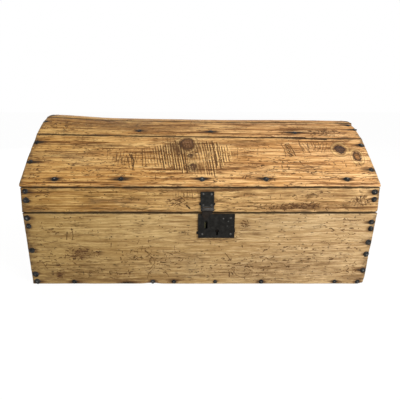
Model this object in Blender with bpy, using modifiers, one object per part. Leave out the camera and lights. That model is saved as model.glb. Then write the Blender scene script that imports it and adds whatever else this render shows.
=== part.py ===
"""A dome-top pine trunk with forged nails, a plate lock, a short hinged hasp, snipe hinges and end handles.

Metres, +Z up. The front faces -Y, and the origin is on the floor under the middle of the body.
"""

import math

import bmesh
import bpy
from mathutils import Matrix, Vector

# Boards of the body
WIDTH = 0.900  # over the end boards' faces
DEPTH = 0.520  # over the front and back boards' faces
BODY_HEIGHT = 0.204
SIDE_THICK = 0.020
END_THICK = 0.022
BOTTOM_THICK = 0.018
BOTTOM_BOARDS = ("front", "rear")

# Lid: straight sides, then five planks on two arched end boards
RIM_HEIGHT = 0.067
PLANK_THICK = 0.020
NOSE_PROUD = 0.0015  # the lowest planks stand this far out past the rim
NOSE_HEIGHT = 0.005
NOSE_TURN = (0.0012, 0.0082)  # a point of the nose's rounding: in from the face, up from the rim
SHOULDER = (0.0080, 0.0148)  # where a lowest plank's slope begins
LOWER_JOINT_SHARE = 0.2558  # of the depth, in from the front face
UPPER_JOINT_SHARE = 0.4269
LOWER_JOINT_RISE = 0.111  # up from the rim
UPPER_JOINT_RISE = 0.146
PLANK_CROWNING = (0.0027, 0.0017, 0.005)  # how far each plank's face bulges: lower, upper, crown
ARC_STEPS = 4
LENGTH_STRIPS = 6  # along each plank between the end boards
LID_FALL = 0.015  # the dome is this much higher at its left end than at its right
LATH_WIDE = 0.036
LATH_THICK = 0.014
LATH_FROM_JOINT = 0.003

# Gaps and edges
FIT = 0.0003  # between faces that touch
SEAM = 0.0006  # between the body and the closed lid
ARRIS = 0.0014
WELD = 0.000001
SHARP_ANGLE = math.radians(35)

# Sides of round iron
RING_STEPS = 16
ROUND_SIDES = 14
PIN_SIDES = 12
HOLE_SIDES = 8

# Forged nails
NAIL_HEAD = 0.0074
NAIL_RISE = 0.0030
NAIL_HEAD_SIDES = 6
NAIL_CROWN = 0.4  # how broad a head's top is, over its foot
NAIL_SHANK = 0.0019
NAIL_TIP = 0.0007
NAIL_LENGTH = 0.042
SMALL_NAIL_HEAD = 0.0032
SMALL_NAIL_RISE = 0.0014
SMALL_NAIL_SHANK = 0.0010
SMALL_NAIL_LENGTH = 0.012
EDGE_NAIL_LEAN = math.radians(41)  # from square on the lowest plank towards upright, into the rim's edge

# Where the nails stand, driven by eye and not evenly
CORNER_NAIL_IN = 0.008  # from the end boards' outer faces
LEFT_CORNER_SHARES = (0.042, 0.147, 0.490, 0.824, 0.931)  # of the body's height
RIGHT_CORNER_SHARES = (0.206, 0.436, 0.603, 0.789, 0.877)
EDGE_NAIL_SHARES = (-0.404, -0.220, 0.006, 0.184, 0.410)  # of the width, from the middle
EDGE_NAIL_IN = 0.012  # from the front face
LATH_NAIL_SHARES = (-0.192, 0.034, 0.299)  # of the width, from the middle
LATH_NAIL_UP = 0.027  # in from the joint beside the lath

# Lock let into the front board
PLATE_LEFT = -0.005
PLATE_WIDE = 0.094
PLATE_TALL = 0.0655
PLATE_BELOW_SEAM = 0.0022
PLATE_THICK = 0.0020
PLATE_NAIL_IN = 0.0105
SLOT_FROM_LEFT = 0.0215
SLOT_FROM_TOP = 0.0300
SLOT_WIDE = 0.0060
SLOT_TALL = 0.0200
KEYHOLE_FROM_LEFT = 0.0490
KEYHOLE_FROM_TOP = 0.0465
KEYHOLE_RADIUS = 0.0045
KEYHOLE_STEM_WIDE = 0.0040
KEYHOLE_STEM_DROP = 0.0115
KEY_PIN_RADIUS = 0.0015
CASE_MARGIN = 0.0135  # from the plate's sides and top in to the case
CASE_RAISE = 0.0045  # from the plate's bottom up to the case
CASE_DEEP = 0.0140
CASE_WALL = 0.0015
BOLT_LONG = 0.050
BOLT_TALL = 0.010
BOLT_THICK = 0.004
BOLT_TRAVEL = 0.010
BOLT_CLEAR = 0.0015  # from the slot's edge to the end of the drawn bolt
TALON_WIDE = 0.009
TALON_DEEP = 0.0035
RAIL_TALL = 0.0030
RAIL_LONG = 0.008
SPRING_THICK = 0.0008
SPRING_LONG = 0.030
SPRING_START = 0.010  # from the bolt's end
SPRING_STEPS = 6

# Hasp on the lid's front rim
HASP_LEFT = 0.0015
HASP_WIDE = 0.034
HASP_THICK = 0.0020
HASP_TOP_DOWN = 0.0115  # from the rim's top to the hasp's top
HASP_AXIS_UP = 0.0105  # from the seam to the pin
HASP_BARREL = 0.0045
HASP_PIN = 0.0020
HASP_PLAY = 0.0009  # round the barrel, in the leaf's notch
HASP_EYE_WIDE = 0.0178
HASP_NAIL_ROWS = (0.006, 0.035)  # down from the hasp's top
HASP_NAIL_IN = 0.0065
TONGUE_THICK = 0.0018
TONGUE_TOP_DROP = 0.0053  # from the pin down to the tongue's shoulders
TONGUE_SIDE_IN = 0.0025
TONGUE_SIDE_DROP = 0.0085
TONGUE_TIP_DROP = 0.0275
TONGUE_TIP_WIDE = 0.0080
TONGUE_TIP_LEFT = 0.0075  # from the hasp's left edge

# Snipe hinges: two linked forged eyes each, their legs driven through and spread inside
HINGE_SHARE = 0.633  # of the width, from one hinge to the other
HINGE_INSET = 0.008  # from the back face in to the axis
CHAMFER = math.radians(50)
EYE_WIRE = 0.0016
EYE_RADIUS = 0.0042
EYE_PLAY = 0.0008
EYE_LEG = 0.0020
LEG_SPREAD = 0.013
BODY_LEG_WAY = (0, -1, -1)
LID_LEG_WAY = (0, -1, 1)
LEG_BITE = 0.35  # how far a leg's ends stop from the middle of the bars they join, in shares of the bar

# Carrying handles on the two ends
HANDLE_HEIGHT = 0.125
HANDLE_APART = 0.124
HANDLE_ROD = 0.0040
HANDLE_DROP = 0.052
HANDLE_STUB = 0.010
HANDLE_BEND = 0.010
HANDLE_BEND_TURNS = (25, 50, 75)  # degrees
HANDLE_SWEEP_STEPS = 5
HANDLE_EYE_WIRE = 0.0024
HANDLE_EYE_RADIUS = 0.0074
HANDLE_OUT = 0.0105
HANDLE_LEG = 0.0030

# Heights and places that follow from the sizes above
SEAM_Z = BODY_HEIGHT + SEAM / 2
LID_Z = BODY_HEIGHT + SEAM
RIM_Z = LID_Z + RIM_HEIGHT
FRONT_Y = -DEPTH / 2
BACK_Y = DEPTH / 2
CROWN_RISE = UPPER_JOINT_RISE + PLANK_CROWNING[2]
FALL_PER_METRE = LID_FALL / (CROWN_RISE * WIDTH)
HINGE_Y = BACK_Y - HINGE_INSET
PLATE_TOP = BODY_HEIGHT - PLATE_BELOW_SEAM
SLOT_X = PLATE_LEFT + SLOT_FROM_LEFT
SLOT_Z = PLATE_TOP - SLOT_FROM_TOP
KEYHOLE_X = PLATE_LEFT + KEYHOLE_FROM_LEFT
KEYHOLE_Z = PLATE_TOP - KEYHOLE_FROM_TOP
HASP_X = HASP_LEFT + HASP_WIDE / 2
HASP_AXIS_Y = FRONT_Y - FIT - HASP_BARREL
HASP_AXIS_Z = LID_Z + HASP_AXIS_UP


def clear_scene():
    """Removes every object that is already in the file."""
    for old in list(bpy.data.objects):
        bpy.data.objects.remove(old)


def new_collection(name):
    """A collection linked under the scene."""
    made = bpy.data.collections.new(name)
    bpy.context.scene.collection.children.link(made)
    return made


def new_material(name, colour, roughness, metallic):
    """A Principled material of one colour."""
    material = bpy.data.materials.new(name)
    material.use_nodes = True
    shader = material.node_tree.nodes["Principled BSDF"]
    shader.inputs["Base Color"].default_value = (*colour, 1.0)
    shader.inputs["Roughness"].default_value = roughness
    shader.inputs["Metallic"].default_value = metallic
    return material


clear_scene()
TRUNK = new_collection("dome_top_trunk")
CUTTERS = new_collection("cutters")
BODY_PINE = new_material("body_pine", (0.45, 0.29, 0.13), 0.6, 0.0)
LID_PINE = new_material("lid_pine", (0.56, 0.32, 0.12), 0.55, 0.0)
BLACK_IRON = new_material("black_iron", (0.022, 0.022, 0.024), 0.55, 0.8)
RUSTY_IRON = new_material("rusty_iron", (0.075, 0.050, 0.038), 0.75, 0.5)


# Modelling helpers


def add_object(name, mesh, collection, material=None):
    """An object with the mesh and one material, linked to the collection."""
    made = bpy.data.objects.new(name, mesh)
    collection.objects.link(made)
    if material is not None:
        made.data.materials.clear()
        made.data.materials.append(material)
    if collection is CUTTERS:
        made.hide_render = True
        made.display_type = "WIRE"
    return made


def box(name, low, high, collection, material=None):
    """A box between two corners, with its origin at its middle."""
    low, high = Vector(low), Vector(high)
    bm = bmesh.new()
    bmesh.ops.create_cube(bm, size=1.0)
    bmesh.ops.scale(bm, vec=high - low, verts=bm.verts)
    mesh = bpy.data.meshes.new(name)
    bm.to_mesh(mesh)
    bm.free()
    made = add_object(name, mesh, collection, material)
    made.location = (low + high) / 2
    return made


def cylinder(name, radius, length, sides, matrix, collection, material=None, tip_radius=None):
    """A cylinder, or a taper where tip_radius is given, along the matrix's Z from its origin's middle."""
    bm = bmesh.new()
    end_radius = radius if tip_radius is None else tip_radius
    bmesh.ops.create_cone(
        bm, cap_ends=True, segments=sides, radius1=radius, radius2=end_radius, depth=length
    )
    mesh = bpy.data.meshes.new(name)
    bm.to_mesh(mesh)
    bm.free()
    made = add_object(name, mesh, collection, material)
    made.matrix_world = matrix
    return made


def mesh_of_curve(curve_object, name, collection, material):
    """Turns a curve into a mesh object in the same place, with its caps welded, and removes the curve."""
    graph = bpy.context.evaluated_depsgraph_get()
    mesh = bpy.data.meshes.new_from_object(curve_object.evaluated_get(graph))
    bm = bmesh.new()
    bm.from_mesh(mesh)
    bmesh.ops.remove_doubles(bm, verts=bm.verts, dist=WELD)
    bm.to_mesh(mesh)
    bm.free()
    place = curve_object.matrix_world.copy()
    bpy.data.objects.remove(curve_object)
    mesh.name = name
    made = add_object(name, mesh, collection, material)
    made.matrix_world = place
    made.data.shade_flat()
    return made


def new_curve(name, points, cyclic, dimensions):
    """A curve object of one polygon spline."""
    curve = bpy.data.curves.new(name, "CURVE")
    curve.dimensions = dimensions
    spline = curve.splines.new("POLY")
    spline.points.add(len(points) - 1)
    for knot, place in zip(spline.points, points):
        knot.co = (*place, 1.0)
    spline.use_cyclic_u = cyclic
    made = bpy.data.objects.new(name, curve)
    bpy.context.scene.collection.objects.link(made)
    return made


SECTION_TO_WORLD = Matrix(((0, 0, 1, 0), (1, 0, 0, 0), (0, 1, 0, 0), (0, 0, 0, 1)))


def board(name, section, x_low, x_high, collection, material=None):
    """A board that runs along X with the given outline of (y, z) points."""
    outline = new_curve(name + "_outline", [(y, z, 0.0) for y, z in section], True, "2D")
    outline.data.fill_mode = "BOTH"
    outline.data.extrude = (x_high - x_low) / 2
    outline.matrix_world = Matrix.Translation(((x_low + x_high) / 2, 0, 0)) @ SECTION_TO_WORLD
    bpy.context.view_layer.update()
    return mesh_of_curve(outline, name, collection, material)


def plate(name, outline, y_low, y_high, collection, material=None):
    """A flat plate facing Y with the given outline of (x, z) points."""
    curve = new_curve(name + "_outline", [(x, z, 0.0) for x, z in outline], True, "2D")
    curve.data.fill_mode = "BOTH"
    curve.data.extrude = (y_high - y_low) / 2
    upright = Matrix.Rotation(math.radians(90), 4, "X")
    curve.matrix_world = Matrix.Translation((0, (y_low + y_high) / 2, 0)) @ upright
    bpy.context.view_layer.update()
    return mesh_of_curve(curve, name, collection, material)


def tube(name, points, radius, resolution, collection, material=None):
    """A round bar along the points, with flat caps."""
    curve = new_curve(name + "_line", points, False, "3D")
    curve.data.bevel_depth = radius
    curve.data.bevel_resolution = resolution
    curve.data.use_fill_caps = True
    bpy.context.view_layer.update()
    return mesh_of_curve(curve, name, collection, material)


def ring(name, radius, wire, matrix, collection, material=None):
    """A torus whose hole looks along the matrix's Z, turned so that no corner of it faces along X."""
    bpy.ops.mesh.primitive_torus_add(
        major_radius=radius, minor_radius=wire, major_segments=RING_STEPS, minor_segments=8
    )
    made = bpy.context.object
    for holder in list(made.users_collection):
        holder.objects.unlink(made)
    made.name = name
    mesh = made.data
    bpy.data.objects.remove(made)
    mesh.name = name
    placed = add_object(name, mesh, collection, material)
    placed.matrix_world = matrix @ Matrix.Rotation(math.pi / RING_STEPS, 4, "Z")
    return placed


def boolean(target, other, operation):
    """Adds a Boolean modifier to the target."""
    modifier = target.modifiers.new(operation.lower(), "BOOLEAN")
    modifier.operation = operation
    modifier.object = other
    modifier.solver = "EXACT"


def cut(target, *cutters):
    """Takes the cutters' shapes out of the target, all in one Boolean with those it already has."""
    if "cuts" in target.modifiers:
        group = target.modifiers["cuts"].collection
    else:
        group = bpy.data.collections.new(target.name + "_cutters")
        CUTTERS.children.link(group)
        modifier = target.modifiers.new("cuts", "BOOLEAN")
        modifier.operation = "DIFFERENCE"
        modifier.operand_type = "COLLECTION"
        modifier.collection = group
        modifier.solver = "EXACT"
    for cutter in cutters:
        group.objects.link(cutter)


def fuse(target, *others):
    """Unites the others with the target in one mesh, and removes them."""
    for other in others:
        boolean(target, other, "UNION")
    bpy.context.view_layer.update()
    graph = bpy.context.evaluated_depsgraph_get()
    mesh = bpy.data.meshes.new_from_object(target.evaluated_get(graph))
    target.modifiers.clear()
    target.data = mesh
    for other in others:
        bpy.data.objects.remove(other)
    return target


def ease_edges(target):
    """Takes the sharp arrises off a board."""
    modifier = target.modifiers.new("arris", "BEVEL")
    modifier.width = ARRIS
    modifier.segments = 1
    modifier.limit_method = "ANGLE"
    modifier.angle_limit = SHARP_ANGLE
    modifier.harden_normals = True


def shade_round(*pieces):
    """Smooth shading for round iron and crowned planks, with their real corners kept sharp."""
    for piece in pieces:
        piece.data.shade_smooth()
        piece.data.set_sharp_from_angle(angle=SHARP_ANGLE)


def joint_empty(name, place):
    """An empty on a joint's axis, which carries the pieces that move."""
    empty = bpy.data.objects.new(name, None)
    TRUNK.objects.link(empty)
    empty.location = place
    bpy.context.view_layer.update()
    return empty


def carry(empty, *pieces):
    """Parents pieces to an empty without moving them."""
    bpy.context.view_layer.update()
    for piece in pieces:
        piece.parent = empty
        piece.matrix_parent_inverse = empty.matrix_world.inverted()


def join_copies(name, template, places, collection, material=None):
    """One mesh with a copy of the template mesh at each matrix."""
    bm = bmesh.new()
    for place in places:
        copy = template.copy()
        copy.transform(place)
        bm.from_mesh(copy)
        bpy.data.meshes.remove(copy)
    mesh = bpy.data.meshes.new(name)
    bm.to_mesh(mesh)
    bm.free()
    return add_object(name, mesh, collection, material)


# Shape of the dome


def arc(start, end, bulge, steps):
    """Points of a circular arc from start to end that stands bulge over its chord, to its left."""
    start, end = Vector(start), Vector(end)
    chord = end - start
    half = chord.length / 2
    radius = (half * half + bulge * bulge) / (2 * bulge)
    middle = (start + end) / 2
    along = chord.normalized()
    left = Vector((-along.y, along.x))
    centre = middle - left * (radius - bulge)
    swing = math.asin(half / radius)
    points = []
    for step in range(steps + 1):
        angle = -swing + 2 * swing * step / steps
        points.append(centre + left * radius * math.cos(angle) + along * radius * math.sin(angle))
    return points


def cross(a, b):
    """The flat cross product of two plane vectors."""
    return a.x * b.y - a.y * b.x


def meet(point_a, way_a, point_b, way_b):
    """Where two lines in the section plane cross."""
    step = cross(point_b - point_a, way_b) / cross(way_a, way_b)
    return point_a + way_a * step


def mirror(points):
    """The same section points on the back half of the dome, in order."""
    return [Vector((DEPTH - p.x, p.y)) for p in reversed(points)]


LOWER_JOINT = Vector((LOWER_JOINT_SHARE * DEPTH, LOWER_JOINT_RISE))
UPPER_JOINT = Vector((UPPER_JOINT_SHARE * DEPTH, UPPER_JOINT_RISE))
JOINTS = [Vector(SHOULDER), LOWER_JOINT, UPPER_JOINT]
JOINTS += mirror(JOINTS)
OUTER_ARCS = [
    arc(start, end, bulge, ARC_STEPS)
    for start, end, bulge in zip(JOINTS, JOINTS[1:], PLANK_CROWNING + PLANK_CROWNING[1::-1])
]


def inner_line(plank, depth):
    """A point and direction on the line that runs depth inside a plank's chord."""
    way = (JOINTS[plank + 1] - JOINTS[plank]).normalized()
    inward = Vector((way.y, -way.x))
    return JOINTS[plank] + inward * depth, way


def inner_corners(depth):
    """Corners of the dome's underside at a depth inside the planks' chords, from front rim to back rim."""
    level = Vector((1, 0))
    corners = [meet(*inner_line(0, depth), Vector((0, FIT)), level)]
    for plank in range(4):
        corners.append(meet(*inner_line(plank, depth), *inner_line(plank + 1, depth)))
    corners.append(meet(*inner_line(4, depth), Vector((0, FIT)), level))
    return corners


def world_section(points):
    """Section points, in from the front face and up from the rim, as world (y, z)."""
    return [(FRONT_Y + p[0], RIM_Z + p[1]) for p in points]


def height_factor(x):
    """How much the dome's height grows or shrinks at a distance along the trunk."""
    return 1 - FALL_PER_METRE * x


def lean_dome(piece, strips=0):
    """Makes the dome's height fall from left to right, with cross lines so that neighbours stay alike."""
    mesh = piece.data
    place = piece.matrix_world
    mesh.transform(place)
    piece.matrix_world = Matrix.Identity(4)
    bm = bmesh.new()
    bm.from_mesh(mesh)
    inner = WIDTH / 2 - END_THICK
    for line in range(strips + 1 if strips else 0):
        x = inner * (2 * line / strips - 1)
        everything = bm.verts[:] + bm.edges[:] + bm.faces[:]
        bmesh.ops.bisect_plane(bm, geom=everything, plane_co=(x, 0, 0), plane_no=(1, 0, 0))
    for vertex in bm.verts:
        if vertex.co.z > RIM_Z:
            vertex.co.z = RIM_Z + (vertex.co.z - RIM_Z) * height_factor(vertex.co.x)
    bm.to_mesh(mesh)
    bm.free()


def nose():
    """The rounded lower front edge of a lowest plank."""
    return [
        Vector((-NOSE_PROUD, FIT)),
        Vector((-NOSE_PROUD, NOSE_HEIGHT)),
        Vector(NOSE_TURN),
    ]


def plank_section(plank):
    """Outline of a plank across the grain: its face, then back along its underside."""
    half_gap = FIT / 2
    corners = inner_corners(PLANK_THICK)
    face = list(OUTER_ARCS[plank])
    under = [corners[plank + 1], corners[plank]]
    if plank == 0:
        face = nose() + face
    if plank == 4:
        face = face + mirror(nose())
    for side, end, back in ((0, 0, -1), (1, -1, 0)):
        outer_edge = (plank == 0 and side == 0) or (plank == 4 and side == 1)
        if not outer_edge:
            shift = (face[end] - under[back]).normalized()
            away = Vector((shift.y, -shift.x)) * (half_gap if side == 0 else -half_gap)
            face[end] = face[end] + away
            under[back] = under[back] + away
    return world_section(face + under)


def dome_spot(x, from_front):
    """World point on the planks' faces, and the facet's slope, at a distance in from the front face."""
    points = nose() + [p for face in OUTER_ARCS for p in face] + mirror(nose())
    for a, b in zip(points, points[1:]):
        if a.x <= from_front <= b.x and a.x < b.x:
            share = (from_front - a.x) / (b.x - a.x)
            height = (a.y + (b.y - a.y) * share) * height_factor(x)
            slope = math.atan2((b.y - a.y) * height_factor(x), b.x - a.x)
            return Vector((x, FRONT_Y + from_front, RIM_Z + height)), slope
    raise ValueError("no plank at that distance")


# Nails


def square_taper(name, half_side, tip_radius, length, seat, lean):
    """A square taper that runs down from its seat, leaning by an angle about X."""
    down = Matrix.Rotation(math.pi, 4, "X") @ Matrix.Rotation(math.pi / 4, 4, "Z")
    place = seat @ Matrix.Rotation(lean, 4, "X") @ Matrix.Translation((0, 0, -length / 2))
    return cylinder(name, half_side * math.sqrt(2), length, 4, place @ down, CUTTERS, None, tip_radius)


def nail_mesh(head, rise, shank, length, lean=0.0):
    """A forged nail: a six-sided head on a tapered square shank, which may lean under the head."""
    seat = Matrix.Translation((0, 0, FIT + rise / 2))
    top = cylinder("nail_head", head, rise, NAIL_HEAD_SIDES, seat, CUTTERS, None, head * NAIL_CROWN)
    fuse(top, square_taper("nail_stem", shank, NAIL_TIP, length, seat, lean))
    mesh = top.data.copy()
    mesh.transform(top.matrix_world)
    bpy.data.objects.remove(top)
    return mesh


def hole_mesh(rise, shank, length, lean=0.0):
    """The hole that such a nail leaves, wider by the fit all round."""
    seat = Matrix.Translation((0, 0, FIT + rise / 2))
    tip = NAIL_TIP + FIT * math.sqrt(2)
    hole = square_taper("nail_hole", shank + FIT, tip, length + 4 * FIT, seat, lean)
    mesh = hole.data.copy()
    mesh.transform(hole.matrix_world)
    bpy.data.objects.remove(hole)
    return mesh


def facing(point, outward, across=Vector((1, 0, 0))):
    """A matrix at a point whose Z looks outward and whose X lies along a given direction."""
    outward = Vector(outward).normalized()
    sideways = (across - outward * across.dot(outward)).normalized()
    turned = outward.cross(sideways)
    matrix = Matrix((sideways, turned, outward)).transposed().to_4x4()
    matrix.translation = point
    return matrix


def drive_nails(name, places, pieces, nail, hole):
    """One nail object at each place, all of one mesh, and their holes in the pieces."""
    nails = []
    for number, place in enumerate(places, start=1):
        made = add_object("%s_%d" % (name, number), nail, TRUNK, BLACK_IRON)
        made.matrix_world = place
        nails.append(made)
    holes = join_copies(name + "_holes", hole, places, CUTTERS)
    for piece in pieces:
        cut(piece, holes)
    return nails


def large_nails(name, places, pieces, lean=0.0):
    """Nails that join boards."""
    nail = nail_mesh(NAIL_HEAD, NAIL_RISE, NAIL_SHANK, NAIL_LENGTH, lean)
    return drive_nails(name, places, pieces, nail, hole_mesh(NAIL_RISE, NAIL_SHANK, NAIL_LENGTH, lean))


def small_nails(name, places, pieces):
    """Nails that hold the iron plates."""
    nail = nail_mesh(SMALL_NAIL_HEAD, SMALL_NAIL_RISE, SMALL_NAIL_SHANK, SMALL_NAIL_LENGTH)
    hole = hole_mesh(SMALL_NAIL_RISE, SMALL_NAIL_SHANK, SMALL_NAIL_LENGTH)
    return drive_nails(name, places, pieces, nail, hole)


def dome_nail(x, from_front):
    """Matrix of a nail that stands square on the dome."""
    point, slope = dome_spot(x, from_front)
    return facing(point, (0, -math.sin(slope), math.cos(slope)))


# Body


def body_boards():
    """The four sides and the bottom boards, with the lock's mortise still to cut."""
    side_z = (0.0, BODY_HEIGHT)
    front_section = rectangle(FRONT_Y, FRONT_Y + SIDE_THICK, *side_z)
    front = board("front_board", front_section, *whole_width(), TRUNK, BODY_PINE)
    chamfer_drop = HINGE_INSET * math.tan(CHAMFER)
    back_section = [
        (BACK_Y - SIDE_THICK, 0.0),
        (BACK_Y, 0.0),
        (BACK_Y, BODY_HEIGHT - chamfer_drop),
        (HINGE_Y, BODY_HEIGHT),
        (BACK_Y - SIDE_THICK, BODY_HEIGHT),
    ]
    back = board("back_board", back_section, *whole_width(), TRUNK, BODY_PINE)
    inside_y = BACK_Y - SIDE_THICK - FIT
    inside_x = WIDTH / 2 - END_THICK
    ends = []
    for name, side in (("left_end_board", -1), ("right_end_board", 1)):
        low, high = sorted((side * inside_x, side * WIDTH / 2))
        ends.append(board(name, rectangle(-inside_y, inside_y, *side_z), low, high, TRUNK, BODY_PINE))
    bottoms = []
    breadth = 2 * inside_y / len(BOTTOM_BOARDS)
    for index, name in enumerate(BOTTOM_BOARDS):
        y_low = -inside_y + breadth * index + FIT / 2
        section = rectangle(y_low, y_low + breadth - FIT, 0.0, BOTTOM_THICK)
        reach = inside_x - FIT
        bottoms.append(board("bottom_board_" + name, section, -reach, reach, TRUNK, BODY_PINE))
    for piece in [front, back, *ends, *bottoms]:
        ease_edges(piece)
    return front, back, ends


def rectangle(y_low, y_high, z_low, z_high):
    """Outline of a rectangle in the section plane."""
    return [(y_low, z_low), (y_high, z_low), (y_high, z_high), (y_low, z_high)]


def whole_width():
    """The two ends of a board that runs over the end boards."""
    return -WIDTH / 2, WIDTH / 2


def corner_nails(front, ends):
    """Nails through the front board into the end boards."""
    corner_x = WIDTH / 2 - CORNER_NAIL_IN
    columns = (
        ("left_corner_nail", -corner_x, LEFT_CORNER_SHARES, ends[0]),
        ("right_corner_nail", corner_x, RIGHT_CORNER_SHARES, ends[1]),
    )
    for name, x, shares, end in columns:
        places = [facing(Vector((x, FRONT_Y, share * BODY_HEIGHT)), (0, -1, 0)) for share in shares]
        large_nails(name, places, [front, end])


# Lid


def lid_boards():
    """The rim, the arched ends, the planks and the laths inside."""
    front_section = rectangle(FRONT_Y, FRONT_Y + SIDE_THICK, LID_Z, RIM_Z)
    front = board("lid_front_rim", front_section, *whole_width(), TRUNK, LID_PINE)
    chamfer_rise = HINGE_INSET * math.tan(CHAMFER)
    back_section = [
        (BACK_Y - SIDE_THICK, LID_Z),
        (HINGE_Y, LID_Z),
        (BACK_Y, LID_Z + chamfer_rise),
        (BACK_Y, RIM_Z),
        (BACK_Y - SIDE_THICK, RIM_Z),
    ]
    back = board("lid_back_rim", back_section, *whole_width(), TRUNK, LID_PINE)

    under = inner_corners(PLANK_THICK + FIT)
    edge = SIDE_THICK + FIT
    upright = Vector((0, 1))
    arch = [meet(*inner_line(0, PLANK_THICK + FIT), Vector((edge, 0)), upright)]
    arch += under[1:5]
    arch.append(meet(*inner_line(4, PLANK_THICK + FIT), Vector((DEPTH - edge, 0)), upright))
    foot = LID_Z - RIM_Z
    section = world_section([Vector((DEPTH - edge, foot)), Vector((edge, foot)), *arch])
    inside_x = WIDTH / 2 - END_THICK
    ends = []
    for name, side in (("lid_left_end", -1), ("lid_right_end", 1)):
        low, high = sorted((side * inside_x, side * WIDTH / 2))
        ends.append(board(name, section, low, high, TRUNK, LID_PINE))

    names = (
        "lid_lower_front_plank",
        "lid_upper_front_plank",
        "lid_crown_plank",
        "lid_upper_back_plank",
        "lid_lower_back_plank",
    )
    planks = []
    for index, name in enumerate(names):
        planks.append(board(name, plank_section(index), *whole_width(), TRUNK, LID_PINE))
    shade_round(*planks)
    laths = [lath("front_joint_lath", 1), lath("back_joint_lath", 3)]
    for piece in ends:
        lean_dome(piece)
    for piece in [*planks, *laths]:
        lean_dome(piece, LENGTH_STRIPS)
    for piece in [front, back, *ends, *planks]:
        ease_edges(piece)
    return front, back, ends, planks, laths


def lath(name, plank):
    """A lath under an upper plank, beside the joint with the plank below it."""
    corners = inner_corners(PLANK_THICK + FIT)
    near, far = (corners[plank], corners[plank + 1]) if plank == 1 else (corners[plank + 1], corners[plank])
    way = (far - near).normalized()
    inward = Vector((way.y, -way.x)) if plank == 1 else Vector((-way.y, way.x))
    start = near + way * LATH_FROM_JOINT
    end = start + way * LATH_WIDE
    section = world_section([start, end, end + inward * LATH_THICK, start + inward * LATH_THICK])
    reach = WIDTH / 2 - END_THICK - FIT
    return board(name, section, -reach, reach, TRUNK, LID_PINE)


def lid_nails(front, planks, laths):
    """Nails along the lowest plank's front edge, and through the front lath."""
    places = [dome_nail(share * WIDTH, EDGE_NAIL_IN) for share in EDGE_NAIL_SHARES]
    made = large_nails("lid_edge_nail", places, [planks[0], front], -EDGE_NAIL_LEAN)
    lath_nail_in = LOWER_JOINT.x + LATH_NAIL_UP
    places = [dome_nail(share * WIDTH, lath_nail_in) for share in LATH_NAIL_SHARES]
    return made + large_nails("lath_nail", places, [planks[1], laths[0]])


# Hinges


def driven_eye(name, centre, normal, radius, wire, leg, foot, inner_way, along):
    """A ring with a leg through a board to the foot on its inner face, where the tips are spread flat."""
    into = (foot - centre).normalized()
    eye = ring(name, radius, wire, facing(centre, normal, into), TRUNK, BLACK_IRON)
    seat = foot + Vector(inner_way) * (wire + FIT)
    start = centre + into * (radius + wire * LEG_BITE)
    shaft = tube(name + "_leg", [start, foot, foot.lerp(seat, 1 - LEG_BITE)], leg, 1, TRUNK)
    reach = Vector(along) * LEG_SPREAD
    tips = tube(name + "_tips", [seat - reach, seat + reach], wire, 1, TRUNK)
    fuse(eye, shaft, tips)
    shade_round(eye)
    return eye


def hinge_eye(name, x, into, ring_normal, ring_offset):
    """One eye at the hinge axis, driven into a board and spread on its inner face."""
    axis_point = Vector((x, HINGE_Y, SEAM_Z))
    into = Vector(into).normalized()
    foot = axis_point + into * (HINGE_Y - BACK_Y + SIDE_THICK) / -into.y
    centre = axis_point + into * ring_offset
    return driven_eye(
        name, centre, ring_normal, EYE_RADIUS, EYE_WIRE, EYE_LEG, foot, (0, -1, 0), (1, 0, 0)
    )


def hinge_pockets(x):
    """Cutters that make room for the linked eyes: for both boards, then for the lid's alone."""
    axis_point = Vector((x, HINGE_Y, SEAM_Z))
    along_x = Matrix.Translation(axis_point) @ Matrix.Rotation(math.pi / 2, 4, "Y")
    reach = EYE_RADIUS + EYE_WIRE + EYE_PLAY
    thin = EYE_WIRE + EYE_PLAY
    round_pocket = cylinder("eye_pocket", reach, 2 * thin, RING_STEPS, along_x, CUTTERS)
    groove = cylinder("eye_groove", thin, 2 * reach, HOLE_SIDES, along_x, CUTTERS)
    up_in = Vector(LID_LEG_WAY).normalized()
    half = Vector((reach, thin, EYE_RADIUS + thin))
    lid_slot = box("lid_eye_slot", -half, half, CUTTERS)
    lid_slot.matrix_world = facing(axis_point + up_in * EYE_RADIUS, up_in)
    return [round_pocket, groove], [lid_slot]


def leg_hole(x, into):
    """Cutter for a hinge eye's leg."""
    into = Vector(into).normalized()
    axis_point = Vector((x, HINGE_Y, SEAM_Z))
    end = (HINGE_Y - BACK_Y + SIDE_THICK) / -into.y + 2 * EYE_LEG
    matrix = facing(axis_point + into * end / 2, into)
    return cylinder("eye_leg_hole", EYE_LEG + FIT, end, HOLE_SIDES, matrix, CUTTERS)


def hinges(back_board, back_rim):
    """Two pairs of linked eyes, with the pockets and holes that they need."""
    lid_eyes = []
    for side, x in (("left", -HINGE_SHARE * WIDTH / 2), ("right", HINGE_SHARE * WIDTH / 2)):
        hinge_eye(side + "_hinge_body_eye", x, BODY_LEG_WAY, (1, 0, 0), 0.0)
        across = Vector(LID_LEG_WAY).normalized().cross(Vector((1, 0, 0)))
        lid_eyes.append(hinge_eye(side + "_hinge_lid_eye", x, LID_LEG_WAY, across, EYE_RADIUS))
        shared, lid_only = hinge_pockets(x)
        cut(back_board, *shared, leg_hole(x, BODY_LEG_WAY))
        cut(back_rim, *shared, *lid_only, leg_hole(x, LID_LEG_WAY))
    return lid_eyes


# Lock


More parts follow.
